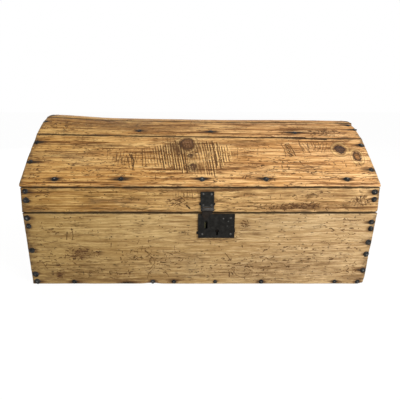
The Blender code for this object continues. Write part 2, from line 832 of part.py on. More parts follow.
def keyhole_cutter(y_low, y_high):
    """Cutter for the keyhole: a round top with a stem below."""
    deep = y_high - y_low
    middle = Matrix.Translation((KEYHOLE_X, (y_low + y_high) / 2, KEYHOLE_Z))
    inward = middle @ Matrix.Rotation(math.pi / 2, 4, "X")
    round_top = cylinder("keyhole", KEYHOLE_RADIUS, deep, ROUND_SIDES, inward, CUTTERS)
    half = KEYHOLE_STEM_WIDE / 2
    stem = box(
        "keyhole_stem",
        (KEYHOLE_X - half, y_low, KEYHOLE_Z - KEYHOLE_STEM_DROP),
        (KEYHOLE_X + half, y_high, KEYHOLE_Z),
        CUTTERS,
    )
    return fuse(round_top, stem)


def lock(front):
    """The plate, the case in its mortise, the key pin, the spring and the bolt, which it returns."""
    plate_back = FRONT_Y - FIT
    plate_front = plate_back - PLATE_THICK
    right = PLATE_LEFT + PLATE_WIDE
    bottom = PLATE_TOP - PLATE_TALL
    outline = [(PLATE_LEFT, bottom), (right, bottom), (right, PLATE_TOP), (PLATE_LEFT, PLATE_TOP)]
    face = plate("lock_plate", outline, plate_front, plate_back, TRUNK, BLACK_IRON)
    margin = PLATE_THICK
    slot = box(
        "staple_slot",
        (SLOT_X - SLOT_WIDE / 2, plate_front - margin, SLOT_Z - SLOT_TALL / 2),
        (SLOT_X + SLOT_WIDE / 2, plate_back + FIT / 2, SLOT_Z + SLOT_TALL / 2),
        CUTTERS,
    )
    cut(face, slot, keyhole_cutter(plate_front - margin, plate_back + FIT / 2))

    case_low = Vector((PLATE_LEFT + CASE_MARGIN, FRONT_Y + FIT, bottom + CASE_RAISE))
    case_high = Vector((right - CASE_MARGIN, FRONT_Y + FIT + CASE_DEEP, PLATE_TOP - CASE_MARGIN))
    gap = Vector((FIT, FIT, FIT))
    mortise = box("lock_mortise", case_low - gap - Vector((0, margin, 0)), case_high + gap, CUTTERS)
    cut(front, mortise)
    case = box("lock_case", case_low, case_high, TRUNK, BLACK_IRON)
    wall = Vector((CASE_WALL, CASE_WALL, CASE_WALL))
    hollow = box("case_hollow", case_low + wall - Vector((0, 2 * margin, 0)), case_high - wall, CUTTERS)
    cut(case, hollow)

    inner_back = case_high.y - CASE_WALL
    bolt_left = SLOT_X + SLOT_WIDE / 2 + BOLT_CLEAR
    bolt_low = SLOT_Z - BOLT_TALL / 2
    bolt_back = inner_back - FIT
    first_rail = bolt_left + RAIL_LONG / 2
    last_rail = bolt_left + BOLT_LONG - BOLT_TRAVEL - RAIL_LONG / 2
    for index, x in enumerate((first_rail, last_rail)):
        rail = box(
            "bolt_rail_%d" % index,
            (x - RAIL_LONG / 2, bolt_back - BOLT_THICK, bolt_low - FIT - RAIL_TALL),
            (x + RAIL_LONG / 2, inner_back + CASE_WALL / 2, bolt_low - FIT),
            CUTTERS,
        )
        boolean(case, rail, "UNION")
    case = fuse(case)

    bolt = box(
        "lock_bolt",
        (bolt_left, bolt_back - BOLT_THICK, bolt_low),
        (bolt_left + BOLT_LONG, bolt_back, bolt_low + BOLT_TALL),
        TRUNK,
        RUSTY_IRON,
    )
    talon = box(
        "bolt_talon",
        (KEYHOLE_X - TALON_WIDE / 2, bolt_back - 2 * BOLT_THICK, bolt_low - TALON_DEEP),
        (KEYHOLE_X + TALON_WIDE / 2, bolt_back + BOLT_THICK, bolt_low + TALON_DEEP),
        CUTTERS,
    )
    cut(bolt, talon)

    pin_front = plate_front + PLATE_THICK / 2
    pin_middle = Matrix.Translation((KEYHOLE_X, (pin_front + bolt_back) / 2, KEYHOLE_Z))
    key_pin = cylinder(
        "key_pin",
        KEY_PIN_RADIUS,
        bolt_back - pin_front,
        PIN_SIDES,
        pin_middle @ Matrix.Rotation(math.pi / 2, 4, "X"),
        TRUNK,
        RUSTY_IRON,
    )
    shade_round(key_pin)
    spring(bolt_left, bolt_back, bolt_low + BOLT_TALL + FIT, case_high.z - CASE_WALL - FIT)

    low_row = bottom + PLATE_NAIL_IN
    high_row = PLATE_TOP - PLATE_NAIL_IN
    near, far = PLATE_LEFT + PLATE_NAIL_IN, right - PLATE_NAIL_IN
    places = [
        facing(Vector((x, plate_front, z)), (0, -1, 0))
        for x, z in ((near, low_row), (far, low_row), (far, high_row))
    ]
    small_nails("lock_plate_nail", places, [face, front])
    return bolt, Vector((bolt_left + BOLT_LONG / 2, bolt_back - BOLT_THICK / 2, SLOT_Z))


def spring(bolt_left, back, low, high):
    """A bent leaf between the case's top and the bolt, which holds the bolt down on its rails."""
    rise = high - low - SPRING_THICK
    lower = []
    for step in range(SPRING_STEPS + 1):
        share = step / SPRING_STEPS
        x = bolt_left + SPRING_START + SPRING_LONG * share
        lower.append((x, low + rise * (2 * share - 1) ** 2))
    upper = [(x, z + SPRING_THICK) for x, z in reversed(lower)]
    plate("bolt_spring", lower + upper, back - BOLT_THICK, back, TRUNK, RUSTY_IRON)


# Hasp


def along_x(point):
    """A matrix at a point whose Z lies along X."""
    return Matrix.Translation(point) @ Matrix.Rotation(math.pi / 2, 4, "Y")


def hasp(rim):
    """The nailed upper leaf, the pin, and the short tapered tongue that hangs from it."""
    back = FRONT_Y - FIT
    front = back - HASP_THICK
    left, right = HASP_LEFT, HASP_LEFT + HASP_WIDE
    top = RIM_Z - HASP_TOP_DOWN
    axis = Vector((HASP_X, HASP_AXIS_Y, HASP_AXIS_Z))
    outline = [(left, HASP_AXIS_Z), (right, HASP_AXIS_Z), (right, top), (left, top)]
    leaf = plate("hasp_leaf", outline, front, back, TRUNK, BLACK_IRON)
    barrel = cylinder("hasp_barrel", HASP_BARREL, HASP_WIDE, ROUND_SIDES, along_x(axis), TRUNK)
    fuse(leaf, barrel)
    reach = HASP_BARREL + HASP_PLAY
    half = HASP_EYE_WIDE / 2
    notch = box(
        "hasp_notch",
        (HASP_X - half - FIT, HASP_AXIS_Y - reach, HASP_AXIS_Z - reach),
        (HASP_X + half + FIT, back + FIT / 2, HASP_AXIS_Z + reach),
        CUTTERS,
    )
    bore = cylinder("hasp_bore", HASP_PIN + FIT, HASP_WIDE + 2 * reach, PIN_SIDES, along_x(axis), CUTTERS)
    cut(leaf, notch, bore)
    pin = cylinder("hasp_pin", HASP_PIN, HASP_WIDE, PIN_SIDES, along_x(axis), TRUNK, RUSTY_IRON)

    eye = cylinder("hasp_tongue", HASP_BARREL, HASP_EYE_WIDE, ROUND_SIDES, along_x(axis), TRUNK, RUSTY_IRON)
    tongue_back = FRONT_Y - FIT - PLATE_THICK - FIT
    tip_left = left + TONGUE_TIP_LEFT
    shoulder = HASP_AXIS_Z - TONGUE_TOP_DROP
    side = HASP_AXIS_Z - TONGUE_SIDE_DROP
    tip = HASP_AXIS_Z - TONGUE_TIP_DROP
    outline = [
        (HASP_X - half, HASP_AXIS_Z),
        (HASP_X - half, shoulder),
        (left + TONGUE_SIDE_IN, shoulder),
        (left + TONGUE_SIDE_IN, side),
        (tip_left, tip),
        (tip_left + TONGUE_TIP_WIDE, tip),
        (right - TONGUE_SIDE_IN, side),
        (right - TONGUE_SIDE_IN, shoulder),
        (HASP_X + half, shoulder),
        (HASP_X + half, HASP_AXIS_Z),
    ]
    flap = plate("tongue_flap", outline, tongue_back - TONGUE_THICK, tongue_back, TRUNK)
    fuse(eye, flap)
    cut(eye, bore)
    shade_round(leaf, pin, eye)

    places = [
        facing(Vector((x, front, top - down)), (0, -1, 0))
        for x in (left + HASP_NAIL_IN, right - HASP_NAIL_IN)
        for down in HASP_NAIL_ROWS
    ]
    nails = small_nails("hasp_nail", places, [leaf, rim])
    return leaf, pin, nails, eye, axis


# Handles


def handle_line():
    """Points of a bail along its rod, in the plane of its swing: across the end, then down from its axis."""
    half = HANDLE_APART / 2
    inner = half - HANDLE_ROD * 2
    start = [(-half - HANDLE_STUB, 0.0), (-half, 0.0), (-inner, 0.0)]
    turn = [
        (-inner + HANDLE_BEND * math.sin(a), -HANDLE_BEND * (1 - math.cos(a)))
        for a in [math.radians(turn) for turn in HANDLE_BEND_TURNS]
    ]
    low_left = turn[-1]
    sweep = []
    for step in range(1, HANDLE_SWEEP_STEPS + 1):
        angle = math.pi / 2 * step / HANDLE_SWEEP_STEPS
        y = low_left[0] * math.cos(angle)
        z = low_left[1] + (-HANDLE_DROP - low_left[1]) * math.sin(angle)
        sweep.append((y, z))
    left = start + turn + sweep
    right = [(-y, z) for y, z in reversed(left[:-1])]
    return left + right


def handle(side_name, side, end_board):
    """A bail hanging from two driven eyes on one end board."""
    axis_x = side * (WIDTH / 2 + HANDLE_OUT)
    origin = Vector((axis_x, 0, HANDLE_HEIGHT))
    points = [origin + Vector((0, y, z)) for y, z in handle_line()]
    bail = tube(side_name + "_handle", points, HANDLE_ROD, 2, TRUNK, BLACK_IRON)
    shade_round(bail)
    into = Vector((-side, 0, 0))
    sag = HANDLE_EYE_RADIUS - HANDLE_EYE_WIRE - HANDLE_ROD - FIT
    for which, y in (("front", -HANDLE_APART / 2), ("rear", HANDLE_APART / 2)):
        name = "%s_handle_%s_eye" % (side_name, which)
        centre = origin + Vector((0, y, sag))
        foot = Vector((side * (WIDTH / 2 - END_THICK), y, HANDLE_HEIGHT + sag))
        driven_eye(
            name, centre, (0, 1, 0), HANDLE_EYE_RADIUS, HANDLE_EYE_WIRE, HANDLE_LEG, foot, into, (0, 0, 1)
        )
        middle = Vector((side * (WIDTH / 2 - END_THICK / 2), y, HANDLE_HEIGHT + sag))
        way = facing(middle, into, Vector((0, 1, 0)))
        long = END_THICK + 2 * HANDLE_LEG
        cut(end_board, cylinder(name + "_hole", HANDLE_LEG + FIT, long, HOLE_SIDES, way, CUTTERS))
    return bail, origin


def build():
    """Makes the whole trunk."""
    front, back, ends = body_boards()
    corner_nails(front, ends)
    bolt, bolt_place = lock(front)

    rim_front, rim_back, lid_ends, planks, laths = lid_boards()
    nails = lid_nails(rim_front, planks, laths)
    lid_eyes = hinges(back, rim_back)
    leaf, pin, hasp_nails, tongue, hasp_axis = hasp(rim_front)
    left_bail, left_axis = handle("left", -1, ends[0])
    right_bail, right_axis = handle("right", 1, ends[1])

    lid_axis = joint_empty("lid_axis", (0, HINGE_Y, SEAM_Z))
    carry(lid_axis, rim_front, rim_back, *lid_ends, *planks, *laths, *nails, *lid_eyes)
    carry(lid_axis, leaf, pin, *hasp_nails)
    tongue_axis = joint_empty("tongue_axis", hasp_axis)
    carry(lid_axis, tongue_axis)
    carry(tongue_axis, tongue)
    carry(joint_empty("bolt_axis", bolt_place), bolt)
    carry(joint_empty("left_handle_axis", left_axis), left_bail)
    carry(joint_empty("right_handle_axis", right_axis), right_bail)
    bpy.context.view_layer.update()


build()
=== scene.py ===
"""The trunk's looks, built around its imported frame: worn pine boards, forged iron, camera and light."""

import math

import bmesh
import bpy
import numpy as np
from mathutils import Matrix, Vector
from mathutils.bvhtree import BVHTree
from mathutils.kdtree import KDTree


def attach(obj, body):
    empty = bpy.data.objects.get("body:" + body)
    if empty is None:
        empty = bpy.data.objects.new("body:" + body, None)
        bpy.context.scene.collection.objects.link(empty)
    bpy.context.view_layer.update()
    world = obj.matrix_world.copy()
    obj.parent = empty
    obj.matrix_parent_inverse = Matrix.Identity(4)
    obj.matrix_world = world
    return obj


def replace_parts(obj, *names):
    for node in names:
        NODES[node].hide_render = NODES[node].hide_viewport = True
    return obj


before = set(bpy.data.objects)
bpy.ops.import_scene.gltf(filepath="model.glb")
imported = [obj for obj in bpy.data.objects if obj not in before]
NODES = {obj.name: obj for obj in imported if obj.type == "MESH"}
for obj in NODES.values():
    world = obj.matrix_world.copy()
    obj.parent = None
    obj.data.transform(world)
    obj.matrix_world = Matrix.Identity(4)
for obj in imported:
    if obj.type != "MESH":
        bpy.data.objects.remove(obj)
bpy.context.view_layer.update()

# Camera, recovered from the photograph's perspective
PHOTO_WIDE = 400
FOCAL_PIXELS = 332.4
PITCH = 16.5
CAMERA_PLACE = (0.0, -1.062, 0.476)
SENSOR = 36.0

camera_data = bpy.data.cameras.new("camera")
camera_data.sensor_width = SENSOR
camera_data.lens = FOCAL_PIXELS / PHOTO_WIDE * SENSOR
camera = bpy.data.objects.new("camera", camera_data)
camera.location = CAMERA_PLACE
camera.rotation_euler = (math.radians(90 - PITCH), 0, 0)
bpy.context.scene.collection.objects.link(camera)
bpy.context.scene.camera = camera

# The trunk's main planes
HALF_WIDTH = 0.450
FRONT_Y = -0.260
BACK_Y = 0.260
BODY_TOP = 0.204
LID_Z = 0.2046
RIM_Z = 0.2716
# The dome: y and z of the front planks' lower edges and the crown's, their slopes, and z of the laths inside
NOSE = (-0.2520, 0.2864)
LOWER_JOINT = (-0.1270, 0.3826)
UPPER_JOINT = (-0.0380, 0.4176)
LOWER_SLOPE, UPPER_SLOPE = 37.6, 21.5
LATH_Z = 0.3600


def smooth(low, high, value):
    """0 at low and 1 at high, with a smooth turn between."""
    share = np.clip((value - low) / (high - low), 0.0, 1.0)
    return share * share * (3 - 2 * share)


def fading(distance, reach):
    """1 where a distance is 0, fading out past the reach."""
    return np.exp(-((distance / reach) ** 2))


# Repeatable noise


# Large odd numbers that mix a cell's place with the seed, and the bits that are kept
PRIMES, MIXER, BITS, TOP = (374761393, 668265263, 1440662683, 974634777), 1274126177, 0xFFFFFFFF, 0xFFFFFF


def hashed(cells, seed):
    """A number from 0 to 1 for each whole-number cell."""
    numbers = (*cells.astype(np.int64).T, seed)
    mixed = sum(number * prime for number, prime in zip(numbers, PRIMES)) & BITS
    mixed = ((mixed ^ (mixed >> 13)) * MIXER) & BITS
    return ((mixed ^ (mixed >> 16)) & TOP) / TOP


def noise(points, seed):
    """Smooth noise from 0 to 1, one cell to a unit."""
    cells = np.floor(points)
    share = points - cells
    share = share * share * (3 - 2 * share)
    total = np.zeros(len(points))
    for corner in np.ndindex(2, 2, 2):
        step = np.array(corner)
        weight = np.prod(np.where(step, share, 1 - share), axis=1)
        total += weight * hashed(cells + step, seed)
    return total


def rough_noise(points, seed, octaves=3):
    """Noise with finer noise on it, from about -1 to 1."""
    total, weight = np.zeros(len(points)), 1.0
    for octave in range(octaves):
        total += (noise(points * 2.0**octave, seed + octave) * 2 - 1) * weight
        weight *= 0.5
    return total


# How far the old trunk's ends have settled inward, by height, and how far the ends of its crown have risen
LID_HEIGHTS = (LID_Z, RIM_Z, RIM_Z + 0.0075, LOWER_JOINT[1], UPPER_JOINT[1])
LID_LEFT_IN = (-0.0035, 0.0010, -0.0010, -0.0035, -0.0085)
LID_RIGHT_IN = (-0.0030, 0.0005, 0.0000, -0.0015, -0.0080)
BODY_HEIGHTS = (0.0, BODY_TOP)
BODY_LEFT_IN = (-0.0045, -0.0035)
BODY_RIGHT_IN = (0.0055, -0.0030)
CROWN_LEFT_UP, CROWN_RIGHT_UP = 0.0075, 0.0032


def settle(points, lid):
    """Moves points of the body or the lid as the real boards have moved."""
    moved = points.copy()
    x, y, z = points.T
    if lid:
        left, right = np.interp(z, LID_HEIGHTS, LID_LEFT_IN), np.interp(z, LID_HEIGHTS, LID_RIGHT_IN)
        up = CROWN_LEFT_UP * smooth(-0.25, -0.45, x) + CROWN_RIGHT_UP * smooth(0.05, 0.30, x)
        moved[:, 2] += up * smooth(LOWER_JOINT[1] - 0.01, UPPER_JOINT[1], z)
    else:
        # The left end board stays clear of its handle, so only its front edge moves
        left = np.interp(z, BODY_HEIGHTS, BODY_LEFT_IN) * smooth(-0.13, -0.24, y)
        right = np.interp(z, BODY_HEIGHTS, BODY_RIGHT_IN)
    reach = np.clip(np.abs(x) / HALF_WIDTH, 0, 1.05) ** 4
    moved[:, 0] += np.where(x < 0, left, -right) * reach
    return moved


# Boards: which way each one's grain runs, and what has marked it


def flat_frame(origin, along, across, depth):
    """A board's own axes: along the grain, across it, and in from the outer face."""
    return np.array(origin, float), np.array([along, across, depth], float)


def plank_frame(y, z, slope):
    """The axes of a plank of the dome."""
    turn = math.radians(slope)
    across = (0, math.cos(turn), math.sin(turn))
    depth = (0, math.sin(turn), -math.cos(turn))
    return flat_frame((0, y, z), (1, 0, 0), across, depth)


FRAMES = {
    "bottom_board_front": flat_frame((0, FRONT_Y, 0), (1, 0, 0), (0, 1, 0), (0, 0, 1)),
    "bottom_board_rear": flat_frame((0, 0, 0), (1, 0, 0), (0, 1, 0), (0, 0, 1)),
    "lid_lower_front_plank": plank_frame(*NOSE, LOWER_SLOPE),
    "lid_upper_front_plank": plank_frame(*LOWER_JOINT, UPPER_SLOPE),
    "lid_crown_plank": plank_frame(*UPPER_JOINT, 0.0),
    "lid_upper_back_plank": plank_frame(-UPPER_JOINT[0], UPPER_JOINT[1], -UPPER_SLOPE),
    "lid_lower_back_plank": plank_frame(-LOWER_JOINT[0], LOWER_JOINT[1], -LOWER_SLOPE),
    "front_joint_lath": plank_frame(LOWER_JOINT[0], LATH_Z, UPPER_SLOPE),
    "back_joint_lath": plank_frame(-LOWER_JOINT[0], LATH_Z, -UPPER_SLOPE),
}
# Upright boards: one of the body and the one above it, a place on their face, the way along the grain and inward
SIDES = [
    ("front_board", "lid_front_rim", (0, FRONT_Y), (1, 0, 0), (0, 1, 0)),
    ("back_board", "lid_back_rim", (0, BACK_Y), (-1, 0, 0), (0, -1, 0)),
    ("left_end_board", "lid_left_end", (-HALF_WIDTH, 0), (0, -1, 0), (1, 0, 0)),
    ("right_end_board", "lid_right_end", (HALF_WIDTH, 0), (0, 1, 0), (-1, 0, 0)),
]
for below, above, place, along, inward in SIDES:
    FRAMES[below] = flat_frame((*place, 0), along, (0, 0, 1), inward)
    FRAMES[above] = flat_frame((*place, LID_Z), along, (0, 0, 1), inward)
# Seeds come from a board's place in this list
NAMES = sorted(FRAMES)

# Size of the faces that a board is cut into, along and across it
FINE, PLAIN, CROSS = (0.0055, 0.0042), (0.0090, 0.0075), (0.0080, 0.0070)
BOTTOM, LATH = (0.020, 0.015), (0.020, 0.012)
# Boards: the pith's place across and behind the face, how far that drifts along half the board, ring spacing, faces
BOARDS = {
    "front_board": (-0.160, 0.060, 0.030, 0.0068, FINE),
    "back_board": (0.120, 0.060, -0.030, 0.0055, PLAIN),
    "left_end_board": (0.060, 0.070, 0.030, 0.0055, CROSS),
    "right_end_board": (0.130, 0.065, -0.030, 0.0055, CROSS),
    "bottom_board_front": (0.100, 0.060, 0.030, 0.0060, BOTTOM),
    "bottom_board_rear": (0.180, 0.070, -0.020, 0.0060, BOTTOM),
    "lid_front_rim": (-0.030, 0.060, 0.010, 0.0050, FINE),
    "lid_back_rim": (0.090, 0.050, 0.020, 0.0050, PLAIN),
    "lid_left_end": (0.080, 0.070, 0.030, 0.0055, CROSS),
    "lid_right_end": (0.020, 0.080, -0.030, 0.0055, CROSS),
    "lid_lower_front_plank": (-0.110, 0.070, 0.030, 0.0056, FINE),
    "lid_upper_front_plank": (-0.050, 0.060, 0.010, 0.0048, FINE),
    "lid_crown_plank": (0.030, 0.060, 0.020, 0.0050, PLAIN),
    "lid_upper_back_plank": (0.060, 0.060, -0.020, 0.0050, PLAIN),
    "lid_lower_back_plank": (0.090, 0.075, 0.030, 0.0055, PLAIN),
    "front_joint_lath": (0.050, 0.050, 0.0, 0.0045, LATH),
    "back_joint_lath": (0.050, 0.050, 0.0, 0.0045, LATH),
}

# Marks by board. Each row starts with its place in the board's own axes, half length along it, half width across it

# Knots: then how dark the middle is, and how far out the dark ring starts
KNOTS = {
    "lid_lower_front_plank": [
        (-0.0345, 0.12783, 0.018, 0.021, 0.55, 0.8), (-0.025, 0.08271, 0.0065, 0.007, 0.85, 0.8),
        (-0.019, 0.0442, 0.009, 0.011, 0.75, 0.8), (0.376, 0.10953, 0.0145, 0.0172, 1, 0.66),
        (0.4146, 0.08243, 0.0108, 0.0195, 0, 0.52),
    ],
    "back_board": [(-0.19, 0.13, 0.014, 0.011, 0.9, 0.75), (0.26, 0.06, 0.017, 0.014, 0.6, 0.75)],
    "lid_lower_back_plank": [(0.23, 0.07591, 0.014, 0.012, 0.8, 0.75)],
    "lid_crown_plank": [(-0.23, 0.048, 0.009, 0.007, 0.8, 0.75)],
    "left_end_board": [(0.15, 0.07, 0.013, 0.011, 0.7, 0.75)],
    "right_end_board": [(0.17, 0.15, 0.012, 0.01, 0.9, 0.75)],
    "lid_left_end": [(-0.1, 0.0854, 0.011, 0.009, 0.8, 0.75)],
    "bottom_board_front": [(-0.15, 0.14, 0.013, 0.01, 0.6, 0.75)],
}
# Brown stains: then the strength
BROWN = {
    "lid_lower_front_plank": [
        (-0.0484, 0.1114, 0.055, 0.045, 0.85), (-0.09, 0.09859, 0.05, 0.03, 0.35),
        (-0.02, 0.04158, 0.03, 0.02, 0.45), (-0.32, 0.12341, 0.11, 0.006, 0.55),
        (0.12, 0.12938, 0.09, 0.009, 0.45), (0.39, 0.12816, 0.045, 0.035, 0.35),
        (-0.45, 0.0678, 0.025, 0.12, 0.35), (-0.26, 0.1178, 0.09, 0.005, 0.9),
        (-0.36, 0.08, 0.06, 0.004, 0.7), (0.13, 0.13938, 0.08, 0.005, 0.8), (-0.07, 0.1178, 0.03, 0.03, 0.8),
        (-0.059, 0.10877, 0.019, 0.03, 1), (-0.0345, 0.12783, 0.026, 0.03, 0.9),
        (-0.05, 0.12127, 0.034, 0.026, 1),
    ],
    "lid_upper_front_plank": [
        (-0.24, 0.06234, 0.22, 0.034, 0.56), (0.1, 0.07777, 0.16, 0.01, 0.15),
        (0.32, 0.04509, 0.07, 0.026, 0.58), (0, 0.08278, 0.6, 0.01, 0.28),
    ],
    "lid_crown_plank": [(0, 0.038, 0.4, 0.02, 0.3)],
    "front_board": [
        (-0.308, 0.0889, 0.032, 0.02, 0.75), (-0.265, 0.093, 0.012, 0.008, 0.7),
        # Some broad rows here only darken the front board: low on its left, and at both its ends
        (-0.34, 0.03, 0.2, 0.045, 0.45), (-0.45, 0.1, 0.035, 0.12, 0.5), (0.45, 0.05, 0.03, 0.09, 0.4),
        (0.23, 0.045, 0.2, 0.045, 0.42), (-0.3765, 0.0265, 0.011, 0.01, 1),
        (0.1433, 0.146, 0.026, 0.006, 0.55), (-0.06, 0.07, 0.11, 0.03, 0.3), (-0.39, 0.11, 0.06, 0.012, 0.35),
        (-0.4, 0.015, 0.07, 0.014, 0.55), (0.415, 0.02, 0.04, 0.018, 0.55), (0.115, 0.175, 0.016, 0.026, 0.4),
        (-0.24, 0.013, 0.17, 0.007, 0.62), (-0.03, 0.024, 0.13, 0.005, 0.45),
        (-0.35, 0.145, 0.07, 0.008, 0.4),
    ],
    "lid_front_rim": [
        (-0.45, 0.0304, 0.03, 0.04, 0.45), (0.2543, 0.0139, 0.115, 0.012, 0.66),
        # The long thin row at 0.067 across is painted shade and dirt along the rim's top, under the lower front
        # plank's nose
        (0.27, 0.0504, 0.2, 0.016, 0.4), (-0.05, 0.0254, 0.06, 0.018, 0.4), (0, 0.067, 0.6, 0.0045, 0.75),
        (-0.4, 0.0184, 0.06, 0.006, 0.5), (0.39, 0.0234, 0.045, 0.012, 0.45),
    ],
    "back_board": [(-0.1, 0.04, 0.2, 0.03, 0.4)],
}
# Iron stains round the lock and hasp: then the strength
IRON_STAINS = {
    "lid_front_rim": [(0.0185, 0.0294, 0.02, 0.03, 0.95), (-0.008, 0.0204, 0.006, 0.005, 0.55)],
    "front_board": [
        (0.042, 0.204, 0.056, 0.0035, 0.95), (-0.0065, 0.169, 0.0045, 0.033, 0.42),
        (0.091, 0.15, 0.004, 0.02, 0.5), (0.042, 0.135, 0.048, 0.004, 0.3),
        (-0.195, 0.004, 0.03, 0.005, 0.85), (0.438, 0.03, 0.016, 0.03, 0.35),
    ],
    "lid_upper_front_plank": [(-0.43, 0.09857, 0.035, 0.004, 0.8), (0.425, 0.08634, 0.02, 0.008, 0.6)],
}
# Worn and scuffed places, paler and greyer: then the strength
PALE = {
    "front_board": [
        (-0.06, 0.05, 0.09, 0.035, 0.45), (0.1, 0.04, 0.06, 0.03, 0.35), (0.25, 0.175, 0.16, 0.025, 0.4),
    ],
    "lid_lower_front_plank": [(0.25, 0.02238, 0.2, 0.02, 0.35), (-0.32, 0.0678, 0.1, 0.035, 0.25)],
    "lid_front_rim": [(-0.25, 0.0254, 0.12, 0.012, 0.3)],
}
# Marks of the saw and of tools: then line spacing, lean and strength
TOOL_MARKS = {
    "lid_lower_front_plank": [
        (-0.035, 0.0864, 0.125, 0.062, 0.0073, 12, 1), (-0.195, 0.07359, 0.045, 0.03, 0.008, -4, 0.8),
        (0.24, 0.10654, 0.017, 0.027, 0.0056, 28, 1), (0.285, 0.11877, 0.016, 0.024, 0.0085, 16, 0.8),
        (0.325, 0.12456, 0.022, 0.02, 0.007, -18, 0.7),
    ],
    "lid_front_rim": [
        (0.4, 0.0304, 0.03, 0.018, 0.007, -12, 0.6), (-0.03, 0.0454, 0.05, 0.014, 0.007, 6, 0.5),
    ],
    "lid_lower_back_plank": [(-0.15, 0.07896, 0.12, 0.05, 0.0075, 10, 0.6)],
}


def local(name, points):
    """Points in a board's own axes."""
    origin, axes = FRAMES[name]
    return (np.atleast_2d(points) - origin) @ axes.T


def spot(own, x, y, long, wide):
    """A soft oval round a place on a board's face, 1 at its middle."""
    return np.exp(-(((own[:, 0] - x) / long) ** 2) - ((own[:, 1] - y) / wide) ** 2)


def from_knot(own, x, y, long, wide):
    """Distance of each point from a knot's middle, 1 at its edge."""
    return np.hypot((own[:, 0] - x) / long, (own[:, 1] - y) / wide)


# How far the pith wanders, in metres, and the rings, in rings
PITH_WANDER, DEPTH_WANDER, RING_WANDER = 0.012, 0.004, 0.35
# How knots bend the rings, in a wide oval and a close one: by how many rings, and the oval's size in knot sizes
KNOT_BENDS = ((4.5, 3.2, 1.9), (2.5, 1.5, 1.2))


def growth(name, own):
    """Number of the yearly ring at each point, which bends round the knots."""
    across, behind, drift, spacing, _ = BOARDS[name]
    seed = NAMES.index(name) * 11
    slow = rough_noise(own * (2.2, 5.0, 5.0), seed + 3)
    pith = across + drift * own[:, 0] / HALF_WIDTH + PITH_WANDER * slow
    rings = np.hypot(own[:, 1] - pith, own[:, 2] - behind - DEPTH_WANDER * slow) / spacing
    rings += RING_WANDER * rough_noise(own * (5.0, 28.0, 28.0), seed + 5)
    for x, y, long, wide, *_ in KNOTS.get(name, ()):
        for bend, longer, wider in KNOT_BENDS:
            rings += bend * spot(own, x, y, long * longer, wide * wider)
    return rings


# Cuts and worm tracks: a stroke is a path on a board's face, its half width and how dark it is, or, below 0, how
# strong a painted highlight it is


def seen(name, x, y):
    """Where on a board's face the photograph shows a pixel, in the board's own axes."""
    turn = math.radians(PITCH)
    up = PHOTO_WIDE / 2 - y
    ahead = FOCAL_PIXELS * math.cos(turn) + up * math.sin(turn)
    way = np.array((x - PHOTO_WIDE / 2, ahead, up * math.cos(turn) - FOCAL_PIXELS * math.sin(turn)))
    origin, axes = FRAMES[name]
    start = np.array(CAMERA_PLACE)
    return local(name, start + way * ((origin - start) @ axes[2]) / (way @ axes[2]))[0, :2]


def chance(*keys):
    """A repeatable number from 0 to 1."""
    return float(hashed(np.array([keys]), 91)[0])


STROKES = {name: [] for name in FRAMES}
WOBBLE = 0.0012


def add_stroke(name, path, half, strength):
    """Adds a path of points in a board's own axes, with a slight wobble."""
    number = len(STROKES[name])
    wobble = [(chance(number, step, 1) - 0.5, chance(number, step, 2) - 0.5) for step in range(len(path))]
    STROKES[name].append((np.array(path) + WOBBLE * np.array(wobble), half, strength))


def scribble(name, middle, size, count, seed):
    """Scatters short wandering tracks over a patch of a board: most run along it, and a few are wide and faint."""
    for number in range(count):
        key = seed * 100 + number
        x = middle[0] + (chance(key, 1, 3) + chance(key, 2, 3) - 1) * size[0]
        y = middle[1] + (chance(key, 3, 3) + chance(key, 4, 3) - 1) * size[1]
        kind = chance(key, 6, 3)
        turn = (chance(key, 5, 3) - 0.5) * (0.8 if kind < 0.70 else 3.6)
        path = [(x, y)]
        for step in range(1 + int(chance(key, 7, 3) * 2.2)):
            reach = 0.0015 + 0.0050 * chance(key, 8 + step, 3) ** 2
            x, y = x + reach * math.cos(turn), y + reach * math.sin(turn)
            path.append((x, y))
            turn += (chance(key, 14 + step, 3) - 0.5) * 1.6
        broad = kind < 0.25
        half = 0.0006 + 0.0006 * chance(key, 20, 3) + (0.0008 if broad else 0)
        add_stroke(name, path, half, (0.35 if broad else 0.45) + 0.50 * chance(key, 21, 3))


